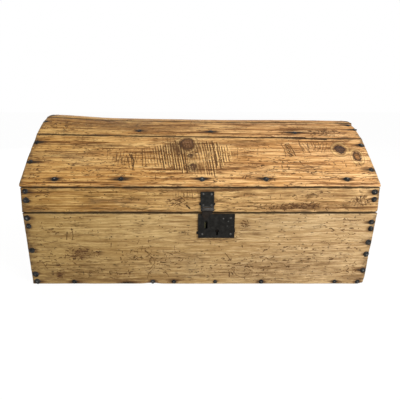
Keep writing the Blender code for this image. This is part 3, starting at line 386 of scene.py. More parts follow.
# Strokes that the photograph shows one by one: half width in mm, darkness, and x and y of each point in its pixels
SINGLE_STROKES = {
    "front_board": [
        (0.9, 0.95, 67.4, 232, 67.2, 239.5), (0.8, 0.9, 72.2, 228.5, 72.6, 233, 73.4, 236, 72.4, 240),
        (0.7, 0.8, 72.4, 240, 74.5, 239.5), (0.9, 0.8, 111.2, 243, 110.8, 247),
        (0.7, 0.75, 174.6, 245.5, 175, 251.5, 177.5, 252.2),
        (0.8, 0.65, 137, 247.6, 142, 248.2, 149, 247.4, 155, 246.8), (0.7, 0.75, 143, 245.5, 141.4, 250.5),
        (0.7, 0.7, 148, 238.8, 149, 243), (0.7, 0.6, 139, 241, 137.2, 244),
        (0.8, 0.75, 145, 250, 149, 255, 153.4, 259, 155, 263, 149.5, 269.5, 145.5, 270.5),
        (0.8, 0.8, 133.5, 256.5, 135.5, 255.8, 137.5, 257, 136.5, 259), (0.7, 0.7, 43, 261, 48.5, 269),
        (0.8, 0.85, 225, 253, 228, 256.5, 231, 261), (1.2, 0.95, 229.4, 273, 229.2, 277),
        (0.8, 0.6, 231, 268, 236, 275, 243, 278.5), (0.8, 0.6, 243, 277.5, 248, 275, 251, 270, 246, 268.5),
        (0.7, 0.55, 246, 271, 252, 270, 252, 276),
        (0.8, 0.55, 147, 279, 149, 273, 153, 269, 160, 268, 166, 271, 169, 277),
        (1.1, 0.9, 219, 246, 219.2, 247), (1.2, 0.95, 242, 245.6, 242.4, 247),
        (0.6, 0.6, 300, 260, 309, 262, 318, 261.5, 331, 262.8), (1.2, 0.55, 343, 219.5, 352, 220.5, 361, 220),
        (1, 0.6, 44, 241, 52, 242.5, 58, 241), (0.8, 0.5, 62, 245, 71, 243.5, 80, 245, 88, 249),
    ],
    "lid_lower_front_plank": [
        (0.9, 0.85, 281, 143.5, 284.5, 150, 286, 157), (1, 0.95, 288.5, 143, 292, 149, 296, 156.5),
        (0.8, 0.8, 284.5, 143.5, 288.5, 150, 291.5, 157), (1.3, 0.85, 298.6, 140, 300, 145.5),
        (0.8, 0.85, 300, 145, 303.4, 152), (1, 0.85, 307, 142, 308, 148, 309.4, 152.5),
        (0.8, 0.7, 311, 141, 312.5, 146), (0.8, 0.75, 313.5, 142, 315.5, 147, 313.5, 150),
        (0.7, 0.65, 318, 142, 320, 147, 317.5, 152), (0.7, 0.65, 322, 141, 323.5, 147, 321, 153),
        (0.7, 0.6, 326, 140.5, 326.5, 147, 324, 153), (0.7, 0.55, 257.5, 149, 258, 157),
        (0.8, 0.6, 237.2, 150, 237.5, 157.5), (0.7, 0.5, 244.5, 151, 244.5, 156),
        (1.2, 0.85, 282.6, 161.5, 282.8, 163), (0.9, 0.9, 281.6, 165.5, 282.2, 168.5),
        (0.8, 0.75, 274.5, 169.5, 276, 170.5, 277.8, 170), (1.4, 0.8, 287, 167, 289.5, 167.4, 288.4, 169.5),
        (0.8, 0.8, 345.4, 164, 346.4, 167), (0.8, 0.8, 327, 173.6, 334, 173.4),
        (0.6, 0.6, 310, 173.4, 315, 173.6), (0.6, 0.6, 340, 174, 348, 173.5),
        (0.8, 0.7, 345, 184.5, 347, 187), (0.9, 0.8, 284, 184.3, 288, 184.8),
        (0.7, 0.65, 98, 151, 99, 148.5, 102, 148, 104.5, 149.5), (0.8, 0.6, 108.5, 151, 107.5, 158),
        (0.8, 0.75, 116.5, 152, 116.7, 164), (0.8, 0.75, 120.6, 153, 122.4, 166),
        (1.1, 0.85, 127, 156, 129.4, 168), (1.1, 0.95, 129.5, 154.5, 132, 160, 132.2, 167),
        (1.4, 1, 131.6, 155, 134.2, 162, 132.8, 169.5), (0.8, 0.7, 135.5, 158, 137.4, 164),
        (0.8, 0.85, 142.4, 149.5, 142.7, 166.5), (0.8, 0.85, 145, 150.5, 145.8, 166.5),
        (0.8, 0.7, 155.4, 175, 155.6, 180), (1.1, 0.85, 167, 183.6, 174, 184.6, 181, 184.4),
        (0.8, 0.6, 163, 136.5, 163.4, 141), (0.8, 0.65, 167, 136, 167.2, 142),
        (0.8, 0.7, 173.4, 136, 174.4, 142), (3, 1.5, 285, 136.9, 305, 137.3, 326, 138.2),
    ],
    "lid_upper_front_plank": [
        (3.6, 1.5, 262, 136.4, 285, 136.1, 305, 136.2), (1.8, 1.2, 222, 136.4, 246, 136.4, 272, 136.4),
        (0.9, 0.85, 128, 134.6, 150, 135.2, 176, 135.6),
    ],
    "lid_front_rim": [
        (0.9, 0.7, 180, 196.5, 185, 200.5, 181, 203), (1, 0.75, 168, 201.4, 173, 200, 181, 200.6),
        (0.9, 0.75, 171, 205.5, 175, 203, 178, 206.5), (1.8, 0.95, 186, 205.2, 189.6, 208.4),
        (0.7, 0.6, 182, 189.5, 182.3, 194), (0.7, 0.6, 187.5, 189.5, 187.6, 196),
        (0.7, 0.6, 192, 189.5, 192.4, 197), (0.7, 0.6, 197, 189.3, 197.2, 193),
        (0.7, 0.65, 270.5, 196, 271.2, 200), (0.7, 0.6, 280.5, 194.5, 279.6, 198.5),
        (0.9, 0.65, 356, 196.5, 358.6, 203), (0.9, 0.7, 360, 196, 362.2, 206), (0.9, 0.7, 364, 197, 366, 205),
        (0.7, 0.6, 356, 200.5, 366, 199.4),
    ],
}
# Patches of tracks: middle and half size in photograph pixels, how many
TRACK_PATCHES = {
    "lid_upper_front_plank": [
        (322, 132, 17, 4.5, 140), (352, 134, 8, 4, 14), (60, 129, 24, 4, 50), (200, 133, 140, 2, 20),
    ],
    "lid_lower_front_plank": [
        (188, 153, 14, 14, 26), (320, 146, 12, 6, 12), (300, 170, 60, 12, 70), (95, 172, 70, 12, 60),
        (240, 177, 40, 6, 14), (360, 172, 12, 16, 16), (36, 172, 10, 12, 12),
    ],
    "lid_front_rim": [
        (176, 201, 16, 7, 26), (296, 206.5, 44, 3.5, 130), (300, 197, 60, 4, 20), (363, 201, 9, 7, 18),
        (45, 196, 14, 5, 10),
    ],
    "front_board": [
        (77, 254, 12, 8, 60), (96, 253, 5, 4, 12), (150, 258, 42, 12, 60), (60, 275, 4, 4, 20),
        (60, 262, 28, 14, 40), (240, 266, 50, 11, 70), (300, 252, 60, 24, 80), (340, 228, 22, 12, 20),
        (60, 232, 26, 12, 16), (350, 268, 12, 12, 22), (110, 274, 70, 6, 30), (242, 226, 6, 8, 12),
    ],
}
# The same on the boards that the photograph doesn't show, in metres along and across them
HIDDEN_PATCHES = [
    ("back_board", 0.20, 0.10, 0.20, 0.07, 50),
    ("back_board", -0.25, 0.06, 0.14, 0.05, 40),
    ("lid_back_rim", 0.10, 0.035, 0.30, 0.02, 30),
    ("lid_lower_back_plank", -0.10, 0.08, 0.30, 0.05, 60),
    ("lid_upper_back_plank", 0.15, 0.045, 0.25, 0.03, 36),
    ("lid_crown_plank", -0.10, 0.035, 0.30, 0.03, 40),
    ("left_end_board", 0.05, 0.10, 0.17, 0.07, 40),
    ("right_end_board", -0.05, 0.10, 0.17, 0.07, 40),
    ("lid_left_end", 0.0, 0.09, 0.16, 0.06, 34),
    ("lid_right_end", 0.0, 0.09, 0.16, 0.06, 34),
]
# The board that the saw has marked most
SAWN_PLANK = "lid_lower_front_plank"
# The saw's chatter across the knot, by pixel column: where its lines start and end, and how deep they are
CHATTER_COLUMNS = (148, 153, 160, 169, 178, 186, 193, 199, 209, 214, 220, 227, 233)
CHATTER_TOPS = (160, 151, 146, 146, 140, 150, 156, 142, 143, 142, 145, 147, 150)
CHATTER_ENDS = (165, 164, 166, 168, 171, 172, 173, 175, 175, 168, 166, 160, 157)
CHATTER_DEPTHS = ((148, 165, 182, 188, 200, 208, 222, 233), (0.60, 1.0, 1.0, 0.45, 0.45, 0.95, 0.85, 0.50))
CHATTER_SPACING, CHATTER_LEAN = 2.45, 0.17
# How far right of each dark line its painted highlight lies, and the highlight's half width
HIGHLIGHT_OFFSET, HIGHLIGHT_HALF = 0.0030, 0.0009
# The hatched strip left of the right knots, in pixels: first line, step to the next, half a line, how many
HATCH = ((286.0, 144.2), (0.68, 1.5), (1.8, -0.8), 9)
HATCH_HALF = 0.0010
# Only points this near a board's face carry its strokes
FACE_DEPTH = 0.004


def add_chatter():
    """The dark slanting lines that a saw left as it jumped across the knot, each with a painted highlight to its
    right.
    """
    for number, x in enumerate(np.arange(CHATTER_COLUMNS[0], CHATTER_COLUMNS[-1], CHATTER_SPACING)):
        top = np.interp(x, CHATTER_COLUMNS, CHATTER_TOPS) + 5 * (chance(number, 1, 5) - 0.5)
        end = np.interp(x, CHATTER_COLUMNS, CHATTER_ENDS) + 6 * (chance(number, 2, 5) - 0.5)
        x += 0.7 * (chance(number, 3, 5) - 0.5)
        cuts = [top, end]
        if chance(number, 4, 5) < 0.55:
            gap = top + (end - top) * (0.3 + 0.4 * chance(number, 5, 5))
            cuts = [top, gap - 0.8, gap + 1.0, end]
        for low, high in zip(cuts[::2], cuts[1::2]):
            heights = np.linspace(low, high, 4)
            path = [seen(SAWN_PLANK, x + (y - top) * CHATTER_LEAN, y) for y in heights]
            half = 0.0010 + 0.0007 * chance(number, 6, 5)
            depth = np.interp(x, *CHATTER_DEPTHS)
            add_stroke(SAWN_PLANK, path, half * (0.6 + 0.5 * depth), depth * (0.70 + 0.30 * chance(number, 7, 5)))
            highlight_path = [(along + HIGHLIGHT_OFFSET, across) for along, across in path]
            add_stroke(SAWN_PLANK, highlight_path, HIGHLIGHT_HALF, -0.35 - 0.6 * depth * chance(number, 8, 5))


def add_hatch():
    """A short strip of slanting cuts."""
    (left, top), (right, down), (wide, tall), count = HATCH
    for number in range(count):
        x, y = left + right * number, top + down * number
        path = [seen(SAWN_PLANK, x + wide * sign, y + tall * sign) for sign in (-1, 1)]
        add_stroke(SAWN_PLANK, path, HATCH_HALF, 1.00)


add_chatter()
for board, rows in SINGLE_STROKES.items():
    for half, strength, *pixels in rows:
        path = [seen(board, x, y) for x, y in zip(pixels[::2], pixels[1::2])]
        add_stroke(board, path, half / 1000, strength)
add_hatch()
patches = [(board, *row) for board, rows in TRACK_PATCHES.items() for row in rows]
for number, (board, x, y, wide, tall, count) in enumerate(patches):
    low, high = (seen(board, x + sign * wide, y - sign * tall) for sign in (-1, 1))
    scribble(board, (low + high) / 2, np.abs(high - low) / 2, count, number)
for number, (board, x, y, wide, tall, count) in enumerate(HIDDEN_PATCHES, len(patches)):
    scribble(board, (x, y), (wide, tall), count, number)


def beyond_strokes(name, own, reach):
    """How far each point of a board's face lies outside its nearest stroke, and that stroke's own mark there.

    A mark below 0 is a painted highlight beside a cut, not a dark cut.
    """
    away, total = np.full(len(own), 1.0), np.zeros(len(own))
    face = own[:, 2] < FACE_DEPTH
    for path, half, strength in STROKES[name]:
        low, high = path.min(axis=0) - reach - 3 * half, path.max(axis=0) + reach + 3 * half
        near = np.nonzero(face & (own[:, :2] >= low).all(axis=1) & (own[:, :2] <= high).all(axis=1))[0]
        if len(near):
            here = own[near, :2]
            gap = np.full(len(near), 1.0)
            for start, end in zip(path, path[1:]):
                way = end - start
                share = np.clip(((here - start) @ way) / max(way @ way, 1e-12), 0, 1)
                gap = np.minimum(gap, np.linalg.norm(here - start - share[:, None] * way, axis=1))
            away[near] = np.minimum(away[near], gap - half)
            depth = strength * fading(gap, half)
            total[near] = np.where(np.abs(depth) > np.abs(total[near]), depth, total[near])
    return away, total


# Nails


def numbered(prefix, count):
    """Names of a numbered run of CAD nodes."""
    return ["%s_%d" % (prefix, number) for number in range(1, count + 1)]


def turned(places):
    """The same places on the back, for a viewer who walks round."""
    return [(-x, -y, z) for x, y, z in places]


def front_row(across, heights):
    """Places on the front face."""
    return [(x, FRONT_Y, z) for x, z in zip(across, heights)]


def body_heights(*shares):
    """Heights from shares of the body's own."""
    return [share * BODY_TOP for share in shares]


LEFT_CORNER = front_row((-0.4365, -0.4388, -0.439, -0.439, -0.439), body_heights(0.042, 0.147, 0.490, 0.824, 0.931))
RIGHT_CORNER = front_row((0.4405, 0.4410, 0.4405, 0.4395, 0.4380), body_heights(0.206, 0.436, 0.603, 0.789, 0.877))
BOTTOM_ROW = front_row((-0.339, -0.128, -0.071, 0.041, 0.166, 0.367, 0.431), [0.0075] * 7)
RIM_LEFT = front_row((-0.4370, -0.4370), (0.2612, 0.2372))
RIM_RIGHT = front_row((0.4370, 0.4370), (0.2590, 0.2400))
EDGE_ROW = [(x, -0.2480, 0.2896) for x in (-0.3636, -0.1980, 0.0054, 0.1656, 0.3690)]
LATH_ROW = [(x, -0.1000, 0.3940) for x in (-0.1728, 0.0306, 0.2691)]
LOWER_ENDS = [
    (-0.4400, -0.1519, 0.3700), (-0.4387, -0.2075, 0.3261), (0.4381, -0.1507, 0.3617), (0.4380, -0.2242, 0.3083)
]
UPPER_ENDS = [(-0.4430, -0.0700, 0.4130), (0.4330, -0.0532, 0.4058), (0.4440, -0.0800, 0.3960)]
CROWN_ENDS = [(-0.4400, -0.0200, 0.42), (-0.4400, 0.0210, 0.42), (0.4390, -0.0180, 0.42), (0.4400, 0.0220, 0.42)]
# Radius of the heads at the corners and along the floor, height of most heads
BIG, SMALL, FLAT = 0.0080, 0.0066, 0.0034
# Piece, board, places on or near its face, head radius, head height
NAIL_ROWS = [
    ("left_corner_nails", "front_board", LEFT_CORNER, BIG, FLAT),
    ("right_corner_nails", "front_board", RIGHT_CORNER, BIG, FLAT),
    ("front_bottom_nails", "front_board", BOTTOM_ROW, SMALL, 0.0030),
    ("back_left_corner_nails", "back_board", turned(RIGHT_CORNER), BIG, FLAT),
    ("back_right_corner_nails", "back_board", turned(LEFT_CORNER), BIG, FLAT),
    ("back_bottom_nails", "back_board", turned(BOTTOM_ROW), SMALL, 0.0030),
    ("rim_left_nails", "lid_front_rim", RIM_LEFT, BIG, FLAT),
    ("rim_right_nails", "lid_front_rim", RIM_RIGHT, BIG, FLAT),
    ("back_rim_nails", "lid_back_rim", turned(RIM_LEFT + RIM_RIGHT), BIG, FLAT),
    ("front_edge_nails", "lid_lower_front_plank", EDGE_ROW, 0.0076, FLAT),
    ("back_edge_nails", "lid_lower_back_plank", turned(EDGE_ROW), 0.0076, FLAT),
    ("front_lath_nails", "lid_upper_front_plank", LATH_ROW, 0.0078, 0.0028),
    ("back_lath_nails", "lid_upper_back_plank", turned(LATH_ROW), 0.0078, 0.0028),
    ("lower_front_end_nails", "lid_lower_front_plank", LOWER_ENDS, 0.0076, FLAT),
    ("lower_back_end_nails", "lid_lower_back_plank", turned(LOWER_ENDS), 0.0076, FLAT),
    ("upper_front_end_nails", "lid_upper_front_plank", UPPER_ENDS, 0.0074, 0.0018),
    ("upper_back_end_nails", "lid_upper_back_plank", turned(UPPER_ENDS), 0.0074, FLAT),
    ("crown_end_nails", "lid_crown_plank", CROWN_ENDS, 0.0070, 0.0012),
]
# The rows whose nails are solids in the CAD
NAIL_NODES = {
    "left_corner_nails": numbered("left_corner_nail", 5),
    "right_corner_nails": numbered("right_corner_nail", 5),
    "front_edge_nails": numbered("lid_edge_nail", 5),
    "front_lath_nails": numbered("lath_nail", 3),
}


# Board meshes


def sliced(bm, faces, axis, cuts):
    """Cuts faces with planes across an axis, halving the set each time so that each cut meets few faces."""
    if not cuts:
        return
    half = len(cuts) // 2
    edges = {edge for face in faces for edge in face.edges}
    points = {point for edge in edges for point in edge.verts}
    made = bmesh.ops.bisect_plane(
        bm, geom=[*points, *edges, *faces], dist=1e-6, plane_co=axis * cuts[half], plane_no=axis
    )["geom"]
    low, high = [], []
    for item in made:
        if isinstance(item, bmesh.types.BMFace):
            side = high if item.calc_center_median().dot(axis) > cuts[half] else low
            side.append(item)
    sliced(bm, low, axis, cuts[:half])
    sliced(bm, high, axis, cuts[half + 1 :])


# How near a stroke the faces are split, once for each number, so that their points can carry it
STROKE_REACHES = (0.0040, 0.0020)
# Faces are split as finely over a knot and this far round it, in its own radii
KNOT_REACH = 1.25
# A real edge turns at least this much, and is sampled at this spacing
REAL_EDGE, SAMPLE_SPACING = math.radians(30), 0.003


def gridded(name, steps):
    """A finer bmesh of a CAD node, cut across its own axes, and sample points along its real edges."""
    bm = bmesh.new()
    bm.from_mesh(NODES[name].data)
    bmesh.ops.remove_doubles(bm, verts=bm.verts, dist=1e-5)
    bmesh.ops.dissolve_limit(bm, angle_limit=math.radians(0.3), verts=bm.verts, edges=bm.edges)
    samples = []
    for edge in bm.edges:
        if len(edge.link_faces) == 2 and edge.calc_face_angle() > REAL_EDGE:
            start, end = (point.co.copy() for point in edge.verts)
            count = max(2, int((end - start).length / SAMPLE_SPACING))
            samples += [start.lerp(end, step / count) for step in range(count + 1)]
    for axis, step in zip(FRAMES[name][1], steps):
        way = Vector(axis)
        along = [point.co.dot(way) for point in bm.verts]
        low, high = min(along), max(along)
        count = int((high - low) / step)
        cuts = [low + (high - low) * (number + 1) / (count + 1) for number in range(count)]
        sliced(bm, bm.faces[:], way, cuts)
    for reach in STROKE_REACHES:
        own = local(name, np.array([face.calc_center_median() for face in bm.faces]))
        away, _ = beyond_strokes(name, own, reach)
        for x, y, long, wide, *_ in KNOTS.get(name, ()):
            away = np.where(from_knot(own, x, y, long, wide) < KNOT_REACH, 0.0, away)
        close = [face for face, gap in zip(bm.faces, away) if gap < reach]
        edges = list({edge for face in close for edge in face.edges})
        bmesh.ops.subdivide_edges(bm, edges=edges, cuts=1, use_grid_fill=True)
    bm.normal_update()
    return bm, samples


def nearest(samples, points):
    """Distance from each point to the nearest sample."""
    tree = KDTree(len(samples))
    for index, sample in enumerate(samples):
        tree.insert(sample, index)
    tree.balance()
    return np.array([tree.find(point)[2] for point in points])


# Places where an edge has lost much more than elsewhere, by board: place, reach, depth
CHIPS = {
    "front_board": [((0.45, -0.26, 0), 0.012, 0.0035), ((-0.13, -0.26, 0), 0.016, 0.0022)],
    "right_end_board": [((0.45, -0.24, 0), 0.012, 0.0035)],
    "lid_front_rim": [((0.45, -0.26, 0.2046), 0.006, 0.0025), ((0.3, -0.26, 0.2046), 0.05, 0.001)],
    "lid_upper_front_plank": [
        ((0.2, -0.127, 0.3826), 0.09, 0.0022), ((0.33, -0.127, 0.378), 0.05, 0.0016),
        ((-0.45, -0.05, 0.42), 0.01, 0.0015), ((0.45, -0.05, 0.405), 0.012, 0.002),
    ],
    "lid_lower_front_plank": [((0.3, -0.127, 0.378), 0.06, 0.0012)],
}
# How far wear reaches from an edge, and shelter from a joint
EDGE_REACH, JOINT_REACH = 0.0035, 0.0060
# How deep the faces' hollows and the cuts are, and the wear of an edge: everywhere, in waves and in small nicks
HOLLOW_DEPTH, CUT_DEPTH = 0.0005, 0.00035
EDGE_WEAR, EDGE_WAVES, EDGE_NICKS = 0.0002, 0.0014, 0.0006
# How far the planks' inner edges swell, so that no light shows between them
JOINT_CLOSE = 0.0004


def worn(name, points, normals, edge, joint, cuts):
    """The points after two centuries: hollows in the faces, rounded edges, chips and cuts, all into the wood."""
    seed = NAMES.index(name) * 17
    deep = HOLLOW_DEPTH * np.clip(0.5 + 0.5 * rough_noise(points * 14.0, seed + 1), 0, 1)
    loss = EDGE_WEAR + EDGE_WAVES * noise(points * 22.0, seed + 2) ** 2 + EDGE_NICKS * noise(points * 90.0, seed + 3)
    loss *= 1 - 0.6 * fading(joint, JOINT_REACH)
    loss *= 1 - 0.7 * smooth(0.012, 0.002, points[:, 2])
    deep += loss * fading(edge, EDGE_REACH) + CUT_DEPTH * cuts
    near_joint = smooth(0.005, 0.010, local(name, points)[:, 2]) * fading(joint, JOINT_REACH)
    deep *= 1 - near_joint
    if "plank" in name:
        deep -= JOINT_CLOSE * near_joint
    for place, reach, depth in CHIPS.get(name, ()):
        away = np.linalg.norm(points - np.array(place), axis=1)
        near = fading(away, reach) * fading(edge, max(0.006, reach / 3))
        deep += depth * near * (0.75 + 0.5 * noise(points * 60.0, seed + 4))
    return points - normals * deep[:, None]


def set_attribute(mesh, name, *values):
    """Stores one number, or a vector of three, for each point of a mesh."""
    kind, key = ("FLOAT", "value") if len(values) == 1 else ("FLOAT_VECTOR", "vector")
    attribute = mesh.attributes.new(name, kind, "POINT")
    attribute.data.foreach_set(key, np.stack(values, axis=1).astype(np.float32).ravel())


def total_spots(name, own, table):
    """How strongly the listed spots mark a board."""
    total = np.zeros(len(own))
    for *oval, strength in table.get(name, ()):
        total = np.maximum(total, strength * spot(own, *oval))
    return total


# Share of a knot's radius where the material starts its dark ring
RING_SHARE = 0.72
# How far dirt and painted shade reach from a joint, rubbed wood from an open edge, and darkening from the trunk's
# ends
SEAM_REACH, BARE_REACH, END_REACH = 0.0046, 0.0045, 0.0140
UPRIGHT_BOARDS = ("front_board", "back_board", "lid_front_rim", "lid_back_rim")
# How far apart two boards' wood lies in the materials' noise
WOOD_OFFSET = np.array((1.37, 0.71, 0.29))


def mark(name, mesh, points, edge, joint, cuts):
    """Stores what the materials need to know at each point of a board."""
    own = local(name, points)
    seed = NAMES.index(name)
    set_attribute(mesh, "wood", *(own + seed * WOOD_OFFSET).T)
    set_attribute(mesh, "growth", growth(name, own))
    set_attribute(mesh, "cut", cuts)
    # Dirt and painted shade along the joints, rubbed wood at open edges, and darkening towards the trunk's ends
    seam_dirt_and_shade = fading(joint, SEAM_REACH)
    bare = fading(edge, BARE_REACH) * (1 - seam_dirt_and_shade)
    set_attribute(mesh, "edge", seam_dirt_and_shade, bare, fading(HALF_WIDTH - np.abs(points[:, 0]), END_REACH))

    knot, heart = np.full(len(own), 9.0), np.zeros(len(own))
    for *oval, dark, start in KNOTS.get(name, ()):
        away = from_knot(own, *oval) * (1 + 0.11 * rough_noise(own * 70.0, seed + 40, 2))
        away = np.where(away < 1, away ** (math.log(RING_SHARE) / math.log(start)), away)
        heart = np.where(away < knot, dark, heart)
        knot = np.minimum(knot, away)
    set_attribute(mesh, "knot", knot)
    set_attribute(mesh, "heart", heart)

    phase, amount = np.zeros(len(own)), np.zeros(len(own))
    for *oval, spacing, lean, strength in TOOL_MARKS.get(name, ()):
        here = strength * smooth(0.25, 0.75, spot(own, *oval))
        turn = math.radians(lean)
        line = (own[:, 0] * math.cos(turn) + own[:, 1] * math.sin(turn)) / spacing
        phase = np.where(here > amount, line, phase)
        amount = np.maximum(amount, here)
    # The third number runs from the left end to the right, for the painted light and shade across the trunk
    set_attribute(mesh, "saw", phase, amount, smooth(-0.5, 0.5, points[:, 0]))

    # Rust has run along the grain from each nail
    strength, length, width = (0.90, 0.65, 0.95) if name in UPRIGHT_BOARDS else (1.05, 1.0, 0.85)
    rust = total_spots(name, own, IRON_STAINS)
    for _, board, places, radius, _ in NAIL_ROWS:
        for number, place in enumerate(places if board == name else ()):
            long = radius * (2.2 + 2.2 * ((number * 7 + seed) % 5) / 4) * length
            x, y, _ = local(name, place)[0]
            rust = np.maximum(rust, strength * spot(own, x, y, long, radius * width))
    set_attribute(mesh, "stain", rust, total_spots(name, own, BROWN), total_spots(name, own, PALE))


def finished(name, bm, sharp=None):
    """A mesh from a bmesh, flat or smooth up to a sharp angle."""
    mesh = bpy.data.meshes.new(name)
    bm.to_mesh(mesh)
    bm.free()
    if sharp:
        mesh.shade_smooth()
        mesh.set_sharp_from_angle(angle=math.radians(sharp))
    return mesh


def body_of(board):
    """The CAD body that a board belongs to."""
    return "carcase" if "board" in board else "lid"


def new_piece(name, mesh, body, material):
    """An object on a CAD body."""
    piece = bpy.data.objects.new(name, mesh)
    bpy.context.scene.collection.objects.link(piece)
    mesh.materials.append(material)
    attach(piece, body)
    return piece


def build_board(name, material, bm, samples, others):
    """A worn board in place of its CAD node, and a tree to drive nails onto it."""
    body = body_of(name)
    points = np.array([point.co for point in bm.verts])
    normals = np.array([point.normal for point in bm.verts])
    edge, joint = nearest(samples, points), nearest(others, points)
    _, cuts = beyond_strokes(name, local(name, points), 0.0)
    moved = settle(worn(name, points, normals, edge, joint, cuts), body == "lid")
    for point, place in zip(bm.verts, moved):
        point.co = place
    tree = BVHTree.FromBMesh(bm)
    mesh = finished(name + "_worn", bm, sharp=62)
    mark(name, mesh, points, edge, joint, cuts)
    slot = "body_pine" if body == "carcase" else "lid_pine"
    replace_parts(new_piece(name + "_worn", mesh, body, material), name)
    return tree


# Nail heads

# A head's sides, its rings as shares of its radius and height, and how near the tip its points are, for the painted
# highlight on the tip, foot last
HEAD_SIDES = 12
HEAD_RINGS = ((1.0, -0.45), (1.0, 0.10), (0.90, 0.30), (0.58, 0.72), (0.26, 0.97))
HEAD_TIP_HIGHLIGHT = [0.0] * 4 * HEAD_SIDES + [0.6] * HEAD_SIDES + [1.0, 0.0]
# How far a head tilts, in radians, and how its seat is found: share of its radius, start outside and greatest depth
TILT = 0.06
PROBE_SHARE, PROBE_OUT, PROBE_DEEP = 0.8, 0.05, 0.025


def band(bm, lower, upper):
    """Faces between two rings of points."""
    for corners in zip(lower, lower[1:] + lower[:1], upper[1:] + upper[:1], upper):
        bm.faces.new(corners)


def rose_head(bm, matrix, radius, height, seed):
    """A forged head: a few uneven hammer facets that rise to a blunt point, on a thin ragged rim."""
    pull = 0.90 + 0.16 * hashed(np.array([[side // 3, seed, 1] for side in range(HEAD_SIDES)]), 5)
    ragged = 0.94 + 0.12 * hashed(np.array([[side, seed, 2] for side in range(HEAD_SIDES)]), 6)
    loops = []
    for share, rise in HEAD_RINGS:
        loop = []
        for side in range(HEAD_SIDES):
            turn = 2 * math.pi * (side + 0.5) / HEAD_SIDES
            out = radius * share * pull[side] * ragged[side] * (0.97 + 0.03 * math.cos(4 * turn + seed))
            place = (out * math.cos(turn), out * math.sin(turn), height * rise * (0.9 + 0.1 * pull[side]))
            loop.append(bm.verts.new(matrix @ Vector(place)))
        loops.append(loop)
    tip = bm.verts.new(matrix @ Vector((0.08 * radius, -0.05 * radius, height)))
    foot = bm.verts.new(matrix @ Vector((0, 0, -height)))
    for lower, upper in zip(loops, loops[1:]):
        band(bm, lower, upper)
    for side in range(HEAD_SIDES):
        after = (side + 1) % HEAD_SIDES
        bm.faces.new((loops[-1][side], loops[-1][after], tip))
        bm.faces.new((loops[0][after], loops[0][side], foot))


def seat(tree, board, place, radius):
    """Where a head sits: the middle of its board's face around the nail's hole, and the way out of the wood."""
    along, across, depth = (Vector(axis) for axis in FRAMES[board][1])
    hits = []
    for side in (along, -along, across, -across):
        hit, normal, _, _ = tree.ray_cast(place + side * radius * PROBE_SHARE - depth * PROBE_OUT, depth)
        if hit is not None and abs((hit - place).dot(depth)) < PROBE_DEEP and normal.dot(depth) < -0.7:
            hits.append((hit, normal))
    middle = sum(((hit - place).dot(depth) for hit, _ in hits), 0.0) / len(hits)
    return place + depth * middle, sum((normal for _, normal in hits), Vector()).normalized()


def build_nails(tree, name, board, places, radius, height, material):
    """One row of heads, each seated on the board's worn face with a slight tilt."""
    bm = bmesh.new()
    for number, place in enumerate(settle(np.array(places), body_of(board) == "lid")):
        hit, normal = seat(tree, board, Vector(place), radius)
        seed = sum(map(ord, name)) + number * 13
        tilt = Matrix.Rotation(TILT * math.sin(seed), 4, "X") @ Matrix.Rotation(TILT * math.cos(seed * 2.3), 4, "Y")
        upright = normal.to_track_quat("Z", "Y").to_matrix().to_4x4()
        matrix = Matrix.Translation(hit) @ upright @ tilt @ Matrix.Rotation(seed, 4, "Z")
        size = 0.9 + 0.2 * float(hashed(np.array([[seed, number, 3]]), 8)[0])
        rose_head(bm, matrix, radius * size, height, seed)
    mesh = finished(name, bm, sharp=28)
    # How near the tip each point is, for the painted highlight on the heads
    set_attribute(mesh, "tip", np.tile(HEAD_TIP_HIGHLIGHT, len(places)))
    piece = new_piece(name, mesh, body_of(board), material)
    if name in NAIL_NODES:
        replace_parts(piece, *NAIL_NODES[name])


# Materials


class Value:
    """A socket of a material's nodes. Sums, differences and products of such values make Math nodes."""

    def __init__(self, shader, socket):
        self.shader, self.socket = shader, socket

    def __add__(self, other):
        return self.shader.math("ADD", self, other)

    def __sub__(self, other):
        return self.shader.math("SUBTRACT", self, other)

    def __mul__(self, other):
        return self.shader.math("MULTIPLY", self, other)


